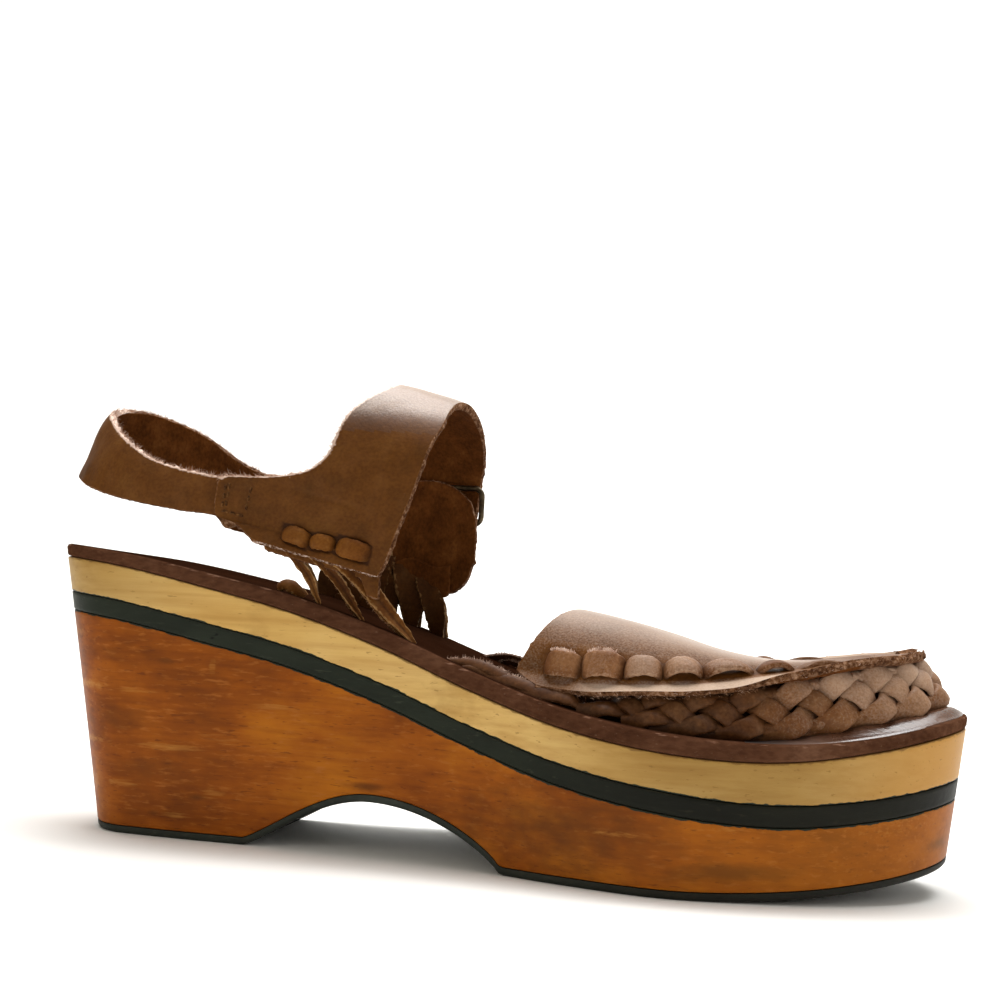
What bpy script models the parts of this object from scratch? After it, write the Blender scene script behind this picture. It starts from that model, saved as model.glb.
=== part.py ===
"""Platform clog sandal, left foot: stained wooden platform, braided leather upper, ankle sling.

Metres, +Z up, +X to the toe, -Y to the inner (medial) side. The origin is on the floor at the
middle of the shoe's box. Sections are worked out in millimetres from the heel's back edge.
"""
import math

import bmesh
import bpy
import numpy as np
from mathutils import Vector

MM = 0.001
LENGTH = 250.0            # heel back edge to toe end, along the top of the wood
SLING_BACK = -2.6         # the sling's rearmost point, a little behind the sole
CENTRE_X = 0.5 * (LENGTH + SLING_BACK)  # the origin's place along the length
GAP = 0.3                 # clearance between pieces that touch

HEEL_ROUND = 26.0         # length over which the outline closes at the heel
HEEL_POWER = 2.3
TOE_ROUND = 44.0          # length over which the outline closes at the toe
TOE_POWER = 2.4
SIDE_DRAFT = 0.07         # how much each side leans in for each mm below the seat
HEEL_SLANT = 0.207        # how much the heel's back leans forward for each mm below the seat
HEEL_SLANT_END = 40.0
TOE_SLANT = 0.12
TOE_SLANT_START = 196.0

RUBBER = 2.1              # outsole thickness
STRIPE = 5.1              # dark lamina thickness
ARCH_START, ARCH_TOP, ARCH_END = 64.7, 99.0, 134.9
ARCH_HEIGHT = 14.0
ARCH_REAR_POWER, ARCH_FRONT_POWER = 1.2, 0.77  # how the arch's two flanks curve
SPRING_START, SPRING_HEIGHT = 175.0, 8.0
TIP_HALF = 1.2            # half width left where the outline closes at each end

# The insole's edge from its foot to its top: inset from the outline, share of the thickness
INSOLE_EDGE = ((0.9, 0.0), (0.0, 0.22), (0.0, 0.62), (0.5, 0.88), (1.6, 1.0))

# Outline and seat: x, half width to the inner side, half width to the outer side,
# height of the wood's top, pale lamina thickness, insole thickness
SOLE_ROWS = (
    (0.0, 26.0, 26.0, 74.8, 9.7, 3.6),
    (25.0, 26.6, 26.8, 72.0, 9.5, 3.9),
    (50.0, 27.3, 27.8, 67.3, 9.3, 4.3),
    (75.0, 27.2, 29.0, 61.8, 9.1, 4.7),
    (100.0, 27.8, 31.5, 54.0, 8.9, 5.0),
    (125.0, 31.0, 36.5, 44.6, 8.7, 5.1),
    (150.0, 38.6, 42.1, 37.3, 8.6, 5.0),
    (175.0, 43.3, 43.3, 33.6, 8.8, 4.8),
    (200.0, 39.4, 40.0, 32.9, 9.8, 4.6),
    (225.0, 33.0, 33.6, 36.4, 11.2, 4.4),
    (250.0, 28.0, 26.0, 42.4, 12.6, 4.2),
)

WALL = 2.3                # leather thickness of the upper
LIP_INSET = 5.5           # the vamp's lip lies this far inside the sole's outline
LIP_TOE = 238.6           # front end of the vamp's lip
LIP_ROUND = 34.0
LIP_POWER = 2.2
LIP_BLUNT = 2.6           # half width of the lip's blunt front end
VAMP_FLARE = 0.86         # where the arch ends and the flat lip starts, as a share of the half width
VAMP_POWER = 1.1          # how steeply the arch drops to the lip
THROAT_SIDE = 136.0       # rearmost point of the vamp's side corner
THROAT_DIP = 14.5         # how much further forward the throat's middle lies
THROAT_CORNER = 0.84      # where the corner turns, as a share of the half section
CORNER_SWEEP = 6.0
THROAT_ROUND = 0.1        # how round the throat is in the middle, as a share of the half section
THROAT_POWER = 0.75       # how the throat runs from its middle to its corner

# The vamp: x, height of the lip's underside, rise of the arch above it
VAMP_ROWS = (
    (130.0, 49.2, 17.0),
    (140.0, 47.3, 18.4),
    (147.0, 46.4, 18.6),
    (160.0, 46.6, 16.6),
    (175.0, 47.4, 12.6),
    (197.0, 50.3, 5.4),
    (214.0, 54.0, 1.9),
    (229.0, 56.8, 1.0),
    (240.0, 58.0, 0.6),
)

BRAID_INSET = 5.0         # braid's outer foot inside the sole's outline
BRAID_THICK = 5.5
BRAID_START = 116.0       # rear end of the braid's flat strips
BRAID_TOE = 245.0
BRAID_ROUND = 42.0
BRAID_RISE = 142.0        # from here forward it stands up to the lip
BRAID_BULGE = 0.3
BRAID_LEAN = 1.2          # how far its top leans in along the sides
BRAID_TOE_LEAN = 6.0      # and how much more at the toe
BRAID_LEAN_START = 222.0
BRAID_TOP_THIN = 1.0      # how much thinner it is at the top
STRIP_HIGH, STRIP_WIDE = 1.4, 3.0  # its flat strips behind
STRIP_END, BRAID_FULL = 128.0, 160.0  # between these it grows to its full thickness

# The inner quarter with its instep strap, from the panel's foot over the instep to the ring:
# rear edge x, y, z and front edge x, y, z of each row
QUARTER_ROWS = (
    (63.3, -28.0, 81.3, 98.8, -30.0, 72.4),
    (54.2, -26.4, 86.8, 101.2, -30.2, 77.9),
    (51.6, -25.4, 97.4, 102.8, -30.2, 83.0),
    (66.9, -27.0, 97.8, 104.3, -30.0, 87.7),
    (77.5, -28.0, 99.8, 106.0, -29.0, 93.5),
    (83.3, -27.0, 104.6, 107.6, -27.5, 100.0),
    (86.2, -24.4, 113.3, 109.6, -24.6, 108.5),
    (88.4, -21.0, 118.5, 111.6, -20.0, 114.5),
    (92.0, -16.0, 123.4, 111.8, -14.0, 119.0),
    (96.0, -8.0, 127.4, 112.8, -7.0, 123.0),
    (98.5, 2.0, 128.2, 114.0, 3.0, 124.2),
    (99.5, 12.0, 126.4, 115.4, 13.0, 122.4),
    (98.2, 22.0, 120.6, 115.8, 22.0, 117.8),
    (95.6, 30.0, 112.5, 115.0, 29.6, 111.0),
    (93.4, 33.9, 104.0, 113.4, 33.8, 103.6),
    (92.8, 33.5, 98.0, 112.9, 33.4, 98.0),
    (92.6, 32.3, 93.6, 112.7, 32.3, 93.6),
)

# The outer quarter from its joint with the sling to its front edge: x, y, top, foot
OUTER_ROWS = (
    (46.0, 27.6, 104.6, 94.0),
    (54.0, 28.4, 104.2, 92.0),
    (64.0, 29.1, 103.6, 88.0),
    (76.0, 29.5, 103.4, 83.0),
    (86.0, 29.5, 103.6, 78.5),
    (94.0, 29.4, 104.2, 74.0),
    (101.0, 29.3, 104.3, 70.6),
    (107.5, 29.2, 101.8, 70.8),
    (111.5, 29.1, 98.0, 74.0),
    (113.6, 29.0, 93.2, 80.0),
)

# The sling round the heel, from the inner joint to the outer joint:
# upper edge x, y, z and lower edge x, y, z of each row
SLING_ROWS = (
    (61.0, -23.9, 96.6, 61.0, -24.2, 86.6),
    (51.6, -22.6, 97.6, 52.8, -23.2, 87.3),
    (41.1, -21.8, 99.3, 39.8, -22.8, 88.3),
    (27.9, -18.6, 102.8, 23.9, -20.0, 90.7),
    (14.8, -11.6, 110.4, 7.6, -13.8, 94.9),
    (7.0, -3.6, 117.2, -0.6, -5.6, 98.4),
    (5.0, 3.0, 120.2, SLING_BACK, 1.6, 100.4),
    (7.4, 12.0, 121.6, -0.2, 10.4, 102.2),
    (16.5, 19.2, 119.6, 10.6, 18.0, 101.8),
    (28.0, 23.2, 114.6, 24.6, 22.6, 99.6),
    (39.0, 24.4, 107.6, 38.0, 24.4, 95.8),
    (50.0, 25.2, 103.4, 50.0, 25.2, 93.6),
    (57.0, 25.6, 102.6, 57.0, 25.6, 92.4),
)

RING_CENTRE = (102.8, 30.4, 97.5)
RING_INSIDE = (21.6, 9.6)  # clear width and height
RING_WIRE = 1.7
RING_CORNER = 2.6

# Thongs: name, side, then x, y and z of the end inside the quarter, and x at the insole
THONG_ROWS = (
    ("thong_medial_1", -1, 74.0, 25.7, 80.6, 82.5),
    ("thong_medial_2", -1, 81.2, 26.3, 79.4, 94.0),
    ("thong_medial_3", -1, 90.6, 26.9, 76.8, 107.6),
    ("thong_lateral_1", 1, 84.0, 26.6, 83.0, 87.5),
    ("thong_lateral_2", 1, 92.0, 26.6, 79.0, 97.0),
    ("thong_lateral_3", 1, 99.6, 26.5, 75.4, 106.0),
)
THONG_WIDTH = 5.5
THONG_THICK = 2.0
THONG_FOOT_INSET = 3.4
THONG_STEPS = (0.0, 0.3, 0.65, 1.0)
THONG_TAPER = 0.2         # how much thinner a thong is at its foot, as a share


def clear_scene():
    """Removes whatever the file opened with."""
    for item in list(bpy.data.objects):
        bpy.data.objects.remove(item, do_unlink=True)


def smooth_column(rows, column, x):
    """A column of a table, read at x along a smooth curve through its rows."""
    xs = np.array([row[0] for row in rows])
    ys = np.array([row[column] for row in rows])
    slopes = np.gradient(ys, xs)
    i = int(np.clip(np.searchsorted(xs, x) - 1, 0, len(xs) - 2))
    span = xs[i + 1] - xs[i]
    t = (x - xs[i]) / span
    return (ys[i] * (1 + 2 * t) * (1 - t) ** 2 + slopes[i] * span * t * (1 - t) ** 2
            + ys[i + 1] * t * t * (3 - 2 * t) + slopes[i + 1] * span * t * t * (t - 1))


def fade(x, start, end):
    """0 at start, 1 at end, level outside."""
    return min(max((x - start) / (end - start), 0.0), 1.0)


def end_round(distance, length, power):
    """Share of the full half width at a distance from an outline's rounded end."""
    t = min(max(distance / length, 0.0), 1.0)
    return (1.0 - (1.0 - t) ** power) ** (1.0 / power)


def half_width(x, side):
    """Half width of the wood's top at x, on the inner side (-1) or the outer side (1)."""
    width = smooth_column(SOLE_ROWS, 1 if side < 0 else 2, x)
    return width * end_round(x, HEEL_ROUND, HEEL_POWER) * end_round(LENGTH - x, TOE_ROUND, TOE_POWER)


def seat(x):
    """Height of the wood's top."""
    return smooth_column(SOLE_ROWS, 3, x)


def pale_foot(x):
    """Height of the pale lamina's underside."""
    return seat(x) - smooth_column(SOLE_ROWS, 4, x)


def stripe_foot(x):
    """Height of the dark lamina's underside."""
    return pale_foot(x) - STRIPE


def insole_top(x):
    """Height of the insole's top."""
    return seat(x) + smooth_column(SOLE_ROWS, 5, x)


def tread(x):
    """Height of the outsole's underside: flat heel, arch, flat ball, toe spring."""
    height = 0.0
    if ARCH_START < x <= ARCH_TOP:
        height = math.sin(0.5 * math.pi * (x - ARCH_START) / (ARCH_TOP - ARCH_START)) ** ARCH_REAR_POWER
    elif ARCH_TOP < x < ARCH_END:
        height = math.sin(0.5 * math.pi * (ARCH_END - x) / (ARCH_END - ARCH_TOP)) ** ARCH_FRONT_POWER
    spring = max(0.0, (x - SPRING_START) / (LENGTH - SPRING_START)) ** 2
    return ARCH_HEIGHT * height + SPRING_HEIGHT * spring


def side_point(x, side, z, inset=0.0):
    """The sole's side surface at station x and height z, moved in by an inset."""
    depth = seat(x) - z
    heel = HEEL_SLANT * depth * (1.0 - fade(x, 0.0, HEEL_SLANT_END))
    toe = TOE_SLANT * depth * fade(x, TOE_SLANT_START, LENGTH)
    along = x + heel - toe
    along += inset * (1.0 - fade(x, 0.0, HEEL_ROUND)) - inset * fade(x, LENGTH - TOE_ROUND, LENGTH)
    across = max(half_width(x, side) - SIDE_DRAFT * max(depth, 0.0) - inset, TIP_HALF)
    return (along, side * across, z)


def stations():
    """Places along the sole: close together at both rounded ends, even between."""
    heel = [HEEL_ROUND * (1.0 - math.cos(a)) for a in np.linspace(0.09, 1.4, 9)]
    toe = [LENGTH - TOE_ROUND * (1.0 - math.cos(a)) for a in np.linspace(1.4, 0.03, 13)]
    middle = list(np.linspace(heel[-1], toe[0], 44)[1:-1])
    return heel + middle + toe


def mesh_object(name, points, faces, material):
    """One closed body from points in millimetres, its faces turned outward."""
    mesh = bpy.data.meshes.new(name)
    mesh.from_pydata([((p[0] - CENTRE_X) * MM, p[1] * MM, p[2] * MM) for p in points], [], faces)
    form = bmesh.new()
    form.from_mesh(mesh)
    bmesh.ops.recalc_face_normals(form, faces=form.faces)
    bmesh.ops.triangulate(form, faces=form.faces)
    form.to_mesh(mesh)
    form.free()
    mesh.materials.append(material)
    mesh.shade_smooth()
    mesh.set_sharp_from_angle(angle=math.radians(40))
    item = bpy.data.objects.new(name, mesh)
    bpy.context.scene.collection.objects.link(item)
    return item


def loft(name, rings, material, closed=False):
    """Body through rings of equal count; closed joins the last ring to the first."""
    count = len(rings[0])
    points = [p for ring in rings for p in ring]
    faces = []
    spans = len(rings) if closed else len(rings) - 1
    for i in range(spans):
        a, b = i * count, ((i + 1) % len(rings)) * count
        for j in range(count):
            k = (j + 1) % count
            faces.append((a + j, a + k, b + k, b + j))
    if not closed:
        faces.append(tuple(range(count)))
        faces.append(tuple(range(len(points) - count, len(points))))
    return mesh_object(name, points, faces, material)


def leather_sheet(name, grid, wall, material):
    """Leather of even thickness: grid is its outer face, rows of points in millimetres."""
    outer = np.array(grid, dtype=float)
    down = np.gradient(outer, axis=0)
    along = np.gradient(outer, axis=1)
    normal = np.cross(down, along)
    normal /= np.linalg.norm(normal, axis=2, keepdims=True)
    inner = outer - normal * wall
    rows, columns = outer.shape[:2]
    points = [tuple(p) for p in outer.reshape(-1, 3)] + [tuple(p) for p in inner.reshape(-1, 3)]
    back = rows * columns
    faces = []
    for i in range(rows - 1):
        for j in range(columns - 1):
            a, b = i * columns + j, i * columns + j + 1
            c, d = b + columns, a + columns
            faces.append((a, b, c, d))
            faces.append((a + back, d + back, c + back, b + back))
    rim = [j for j in range(columns)]
    rim += [i * columns + columns - 1 for i in range(1, rows)]
    rim += [(rows - 1) * columns + j for j in range(columns - 2, -1, -1)]
    rim += [i * columns for i in range(rows - 2, 0, -1)]
    for a, b in zip(rim, rim[1:] + rim[:1]):
        faces.append((a, b, b + back, a + back))
    return mesh_object(name, points, faces, material)


def flowing(rows, steps):
    """The rows of a table with smooth rows put in between them."""
    table = np.array(rows, dtype=float)
    before = np.vstack([2 * table[0] - table[1], table[:-1]])
    after = np.vstack([table[1:], 2 * table[-1] - table[-2]])
    slopes = 0.5 * (after - before)
    out = []
    for i in range(len(table) - 1):
        for t in np.arange(steps) / steps:
            out.append(table[i] * (1 + 2 * t) * (1 - t) ** 2 + slopes[i] * t * (1 - t) ** 2
                       + table[i + 1] * t * t * (3 - 2 * t) + slopes[i + 1] * t * t * (t - 1))
    out.append(table[-1])
    return out


def material(name, colour, roughness, metallic=0.0):
    """A plain Principled finish."""
    finish = bpy.data.materials.new(name)
    finish.use_nodes = True
    shader = finish.node_tree.nodes["Principled BSDF"]
    shader.inputs["Base Color"].default_value = (*colour, 1.0)
    shader.inputs["Roughness"].default_value = roughness
    shader.inputs["Metallic"].default_value = metallic
    return finish


def layer(name, foot, top, finish):
    """One lamina of the sole between two heights, following the sole's side surface."""
    rings = []
    for x in stations():
        low, high = foot(x), top(x)
        rings.append([side_point(x, -1, low), side_point(x, -1, high),
                      side_point(x, 1, high), side_point(x, 1, low)])
    return loft(name, rings, finish)


def insole(finish):
    """The footbed: a thick leather slab with rounded top and bottom edges."""
    rings = []
    for x in stations():
        low, high = seat(x), insole_top(x)
        inner = [side_point(x, -1, low + (high - low) * up, inset) for inset, up in INSOLE_EDGE]
        outer = [side_point(x, 1, low + (high - low) * up, inset) for inset, up in INSOLE_EDGE]
        rings.append(inner + outer[::-1])
    return loft("insole", rings, finish)


def lip_half_width(x, side):
    """Half width of the vamp's lip at x."""
    width = smooth_column(SOLE_ROWS, 1 if side < 0 else 2, x) - LIP_INSET
    return max(width * end_round(LIP_TOE - x, LIP_ROUND, LIP_POWER), LIP_BLUNT)


def vamp_section(share):
    """Across half a section, 0 at the middle to 1 at the lip: share of width, share of rise."""
    if share > VAMP_FLARE:
        return share, 0.0
    angle = 0.5 * math.pi * share / VAMP_FLARE
    return VAMP_FLARE * math.sin(angle), math.cos(angle) ** VAMP_POWER


def throat_line(share):
    """x of the throat's edge: forward in the middle, rearmost at the corner, forward again at the lip."""
    if share > THROAT_CORNER:
        return THROAT_SIDE + CORNER_SWEEP * ((share - THROAT_CORNER) / (1.0 - THROAT_CORNER)) ** 2
    out = share / THROAT_CORNER
    out = (math.hypot(out, THROAT_ROUND) - THROAT_ROUND) / (math.hypot(1.0, THROAT_ROUND) - THROAT_ROUND)
    return THROAT_SIDE + THROAT_DIP * (1.0 - out ** THROAT_POWER)


def vamp(finish):
    """The plug over the toes: an arch behind, level in front, with a lip flared out round it."""
    half = np.array([0.0, 0.12, 0.25, 0.38, 0.5, 0.62, 0.72, 0.79, 0.84, 0.88, 0.94, 1.0])
    across = np.concatenate([-half[:0:-1], half])
    grid = []
    for step in np.linspace(0.0, 1.0, 24):
        t = 1.0 - (1.0 - step) ** 1.7
        row = []
        for u in across:
            share, side = abs(u), (-1 if u < 0 else 1)
            throat = throat_line(share)
            x = throat + (LIP_TOE - throat) * t
            width, rise = vamp_section(share)
            z = smooth_column(VAMP_ROWS, 1, x) + WALL + smooth_column(VAMP_ROWS, 2, x) * rise
            row.append((x, side * width * lip_half_width(x, side), z))
        grid.append(row)
    return leather_sheet("vamp", grid, WALL, finish)


def braid_point(share, side, inset):
    """Plan position on the braid's U, at a share of its length from behind, moved in by an inset."""
    toe = BRAID_TOE - inset
    x = BRAID_START + (toe - BRAID_START) * share
    width = smooth_column(SOLE_ROWS, 1 if side < 0 else 2, x) - BRAID_INSET - inset
    return x, side * width * end_round(toe - x, BRAID_ROUND, TOE_POWER)


def braid_height(x, share):
    """Height within the braid, from its foot on the insole (0) to its top (1)."""
    foot = insole_top(x) + GAP
    top = smooth_column(VAMP_ROWS, 1, min(x, LIP_TOE)) - GAP
    if x < BRAID_RISE:
        top = min(top, foot + STRIP_HIGH)
    return foot + (top - foot) * share


def braid(finish):
    """The woven wall as one solid, in a U round the toe, lying low where its strips start."""
    full = BRAID_TOE - BRAID_START
    share = list(np.linspace(0.0, 1.0 - BRAID_ROUND / full, 20))
    share += [1.0 - BRAID_ROUND / full * (1.0 - math.cos(a)) for a in np.linspace(1.45, 0.04, 14)]
    path = [(t, -1) for t in share] + [(t, 1) for t in share[::-1]]
    rings = []
    for t, side in path:
        x = BRAID_START + full * t
        lean = BRAID_LEAN + BRAID_TOE_LEAN * fade(x, BRAID_LEAN_START, BRAID_TOE)
        thick = STRIP_WIDE + (BRAID_THICK - STRIP_WIDE) * fade(x, STRIP_END, BRAID_FULL)
        ring = []
        for inset, up in ((0.0, 0.0), (-BRAID_BULGE, 0.5), (lean, 1.0),
                          (lean + thick - BRAID_TOP_THIN, 1.0), (thick, 0.5), (thick, 0.0)):
            place, across = braid_point(t, side, inset)
            ring.append((place, across, braid_height(place, up)))
        rings.append(ring)
    return loft("braid", rings, finish)


def quarter(finish):
    """The inner ankle panel and the strap over the instep, one piece of leather."""
    grid = []
    for rear_x, rear_y, rear_z, front_x, front_y, front_z in flowing(QUARTER_ROWS, 3):
        rear, front = Vector((rear_x, rear_y, rear_z)), Vector((front_x, front_y, front_z))
        grid.append([tuple(rear.lerp(front, c)) for c in np.linspace(0.0, 1.0, 7)])
    return leather_sheet("medial_quarter", [row[::-1] for row in grid], WALL, finish)


def outer_quarter(finish):
    """The outer ankle panel, from the sling's joint to its rounded front edge."""
    grid = []
    for x, y, top, foot in flowing(OUTER_ROWS, 3):
        grid.append([(x, y, foot + (top - foot) * c) for c in np.linspace(0.0, 1.0, 7)])
    return leather_sheet("lateral_quarter", [row[::-1] for row in grid], WALL, finish)


def sling(finish):
    """The strap round the heel, its ends tucked inside both quarters."""
    grid = []
    for high_x, high_y, high_z, low_x, low_y, low_z in flowing(SLING_ROWS, 4):
        high, low = Vector((high_x, high_y, high_z)), Vector((low_x, low_y, low_z))
        grid.append([tuple(high.lerp(low, c)) for c in np.linspace(0.0, 1.0, 5)])
    return leather_sheet("back_strap", grid, WALL, finish)


def buckle_ring(finish):
    """A rectangular wire ring with round corners, standing against the outer quarter."""
    half_x = 0.5 * (RING_INSIDE[0] + RING_WIRE)
    half_z = 0.5 * (RING_INSIDE[1] + RING_WIRE)
    corners = ((1, 1, 0), (-1, 1, 90), (-1, -1, 180), (1, -1, 270))
    rings = []
    for side_x, side_z, start in corners:
        for turn in np.linspace(0.0, 90.0, 5):
            angle = math.radians(start + turn)
            out_x, out_z = math.cos(angle), math.sin(angle)
            x = RING_CENTRE[0] + side_x * (half_x - RING_CORNER) + RING_CORNER * out_x
            z = RING_CENTRE[2] + side_z * (half_z - RING_CORNER) + RING_CORNER * out_z
            ring = []
            for step in range(8):
                a = 2.0 * math.pi * step / 8
                reach = 0.5 * RING_WIRE * math.cos(a)
                ring.append((x + reach * out_x, RING_CENTRE[1] + 0.5 * RING_WIRE * math.sin(a),
                             z + reach * out_z))
            rings.append(ring)
    return loft("buckle_ring", rings, finish, closed=True)


def thong(name, side, top_x, top_y, top_z, foot_x, finish):
    """A flat thong from inside a quarter down to the insole's top, near its edge."""
    foot_y = side * (half_width(foot_x, side) - THONG_FOOT_INSET)
    foot = Vector((foot_x, foot_y, insole_top(foot_x) + GAP))
    top = Vector((top_x, side * top_y, top_z))
    wide = 0.5 * THONG_WIDTH
    rings = []
    for t in THONG_STEPS:
        point = top.lerp(foot, t)
        bow = side * math.sin(math.pi * t)
        thick = THONG_THICK * (1.0 - THONG_TAPER * t)
        ring = []
        for across, inward in ((-wide, 0.0), (wide, 0.0), (wide, thick), (-wide, thick)):
            x = point.x + across
            z = point.z if t < 1.0 else insole_top(x) + GAP
            ring.append((x, point.y - bow - side * inward, z))
        rings.append(ring)
    return loft(name, rings, finish)


def build():
    """The whole shoe, from the floor up."""
    clear_scene()
    rubber = material("moulded_rubber", (0.025, 0.03, 0.025), 0.75)
    stained = material("stained_wood", (0.36, 0.10, 0.015), 0.42)
    painted = material("painted_wood", (0.022, 0.03, 0.025), 0.55)
    pale = material("pale_wood", (0.65, 0.45, 0.17), 0.5)
    footbed = material("insole_leather", (0.08, 0.03, 0.015), 0.4)
    upper = material("upper_leather", (0.16, 0.07, 0.03), 0.5)
    lacing = material("lace_leather", (0.25, 0.10, 0.03), 0.6)
    metal = material("aged_brass", (0.30, 0.24, 0.14), 0.35, 1.0)
    layer("outsole", tread, lambda x: tread(x) + RUBBER, rubber)
    layer("wedge", lambda x: tread(x) + RUBBER + GAP, lambda x: stripe_foot(x) - GAP, stained)
    layer("dark_lamina", stripe_foot, lambda x: pale_foot(x) - GAP, painted)
    layer("pale_lamina", pale_foot, lambda x: seat(x) - GAP, pale)
    insole(footbed)
    vamp(upper)
    braid(lacing)
    quarter(upper)
    outer_quarter(upper)
    sling(upper)
    buckle_ring(metal)
    for name, side, top_x, top_y, top_z, foot_x in THONG_ROWS:
        thong(name, side, top_x, top_y, top_z, foot_x, lacing)


build()
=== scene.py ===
"""Looks of the platform clog sandal, left foot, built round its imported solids.

Shapes are worked out in millimetres from the heel's back edge, as the solids were, then placed in the
shoe's own frame: metres, +Z up, +X to the toe, -Y to the inner (medial) side.
"""
import math

import bmesh
import bpy
import numpy as np
from mathutils import Matrix, Vector


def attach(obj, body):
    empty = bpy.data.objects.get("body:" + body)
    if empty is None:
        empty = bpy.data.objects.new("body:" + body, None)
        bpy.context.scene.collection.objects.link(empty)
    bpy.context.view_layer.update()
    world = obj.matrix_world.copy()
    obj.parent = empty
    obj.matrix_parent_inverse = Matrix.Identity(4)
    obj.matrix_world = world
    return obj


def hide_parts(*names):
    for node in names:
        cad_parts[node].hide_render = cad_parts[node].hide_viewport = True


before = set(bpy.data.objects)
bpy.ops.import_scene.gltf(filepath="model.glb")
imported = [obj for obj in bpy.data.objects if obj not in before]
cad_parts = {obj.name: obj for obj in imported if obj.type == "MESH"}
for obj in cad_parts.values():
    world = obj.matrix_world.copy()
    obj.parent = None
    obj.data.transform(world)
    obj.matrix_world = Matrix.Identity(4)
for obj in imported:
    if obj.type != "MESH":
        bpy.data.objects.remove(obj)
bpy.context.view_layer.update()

# ---------------------------------------------------------------- sizes shared with the solids
MM = 0.001
LENGTH = 250.0
SLING_BACK = -2.6
CENTRE_X = 0.5 * (LENGTH + SLING_BACK)

HEEL_ROUND, HEEL_POWER = 26.0, 2.3
TOE_ROUND, TOE_POWER = 44.0, 2.4
SIDE_DRAFT = 0.07
HEEL_SLANT, HEEL_SLANT_END = 0.207, 40.0
TOE_SLANT, TOE_SLANT_START = 0.12, 196.0
TIP_HALF = 0.5
RUBBER = 2.1
STRIPE = 5.1
ARCH_START, ARCH_TOP, ARCH_END = 64.7, 99.0, 134.9
ARCH_HEIGHT = 14.0
ARCH_REAR_POWER, ARCH_FRONT_POWER = 1.2, 0.77
SPRING_START, SPRING_HEIGHT = 175.0, 8.0
SEAM = 0.12               # how far the layers stand apart at their joints

# Outline and seat: x, inner half width, outer half width, top of the wood, pale layer, insole
SOLE_ROWS = (
    (0.0, 26.0, 26.0, 74.8, 9.7, 3.6), (25.0, 26.6, 26.8, 72.0, 9.5, 3.9),
    (50.0, 27.3, 27.8, 67.3, 9.3, 4.3), (75.0, 27.2, 29.0, 61.8, 9.1, 4.7),
    (100.0, 27.8, 31.5, 54.0, 8.9, 5.0), (125.0, 31.0, 36.5, 44.6, 8.7, 5.1),
    (150.0, 38.6, 42.1, 37.3, 8.6, 5.0), (175.0, 43.3, 43.3, 33.6, 8.8, 4.8),
    (200.0, 39.4, 40.0, 32.9, 9.8, 4.6), (225.0, 33.0, 33.6, 36.4, 11.2, 4.4),
    (250.0, 28.0, 26.0, 42.4, 12.6, 4.2),
)

# The upper's leather, the vamp's lip and its throat
WALL = 2.3
LIP_INSET, LIP_TOE, LIP_ROUND, LIP_POWER, LIP_BLUNT = 5.5, 238.6, 34.0, 2.2, 1.4
VAMP_FLARE, VAMP_POWER = 0.86, 1.1
THROAT_SIDE, THROAT_DIP, THROAT_CORNER = 136.0, 14.5, 0.84
CORNER_SWEEP, THROAT_ROUND, THROAT_POWER = 6.0, 0.1, 0.75
LIP_CURL = 1.7            # how much the lip's edge turns up toward the toe
LIP_WALL = 1.2            # the lip is pared thin at its edge
LIP_FOLD = 0.3            # its fold stands a little proud of the throat's height
LIP_DROOP = 0.7           # and its edge hangs a little along the shoe's sides
LIP_CURL_START, LIP_CURL_END = 188.0, 214.0
LIP_DROOP_FADES, LIP_DROOP_ENDS = 185.0, 205.0

# The vamp: x, height of the lip's underside, rise of the arch above it
VAMP_ROWS = (
    (130.0, 49.2, 17.0), (140.0, 47.3, 18.4), (147.0, 46.4, 18.6), (160.0, 46.6, 16.6),
    (175.0, 47.4, 11.9), (197.0, 50.3, 4.0), (214.0, 54.0, 0.3), (229.0, 56.6, 0.0), (240.0, 57.8, 0.4),
)

# The braid's band and its strands
BRAID_INSET, BRAID_TOE, BRAID_ROUND = 5.6, 244.4, 42.0
BRAID_START, BRAID_REAR = 121.0, 146.0     # where the band sets off, and its rearmost strand
STRAND_WIDE, STRAND_THICK = 6.7, 1.6
STRANDS = 4
BRAID_PERIOD = 46.0       # length over which one strand crosses the band and comes back
BRAID_LIFT = 1.6          # how far a strand rises and dips as it passes its neighbours
BRAID_BEND = 1.35         # how much its way bends near the band's edges
BRAID_FOLD = math.radians(62)     # how far it turns over as it folds there
BRAID_INSIDE = (190.0, 0.0, 50.0)     # a place inside the U, which its outer face looks away from

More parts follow.
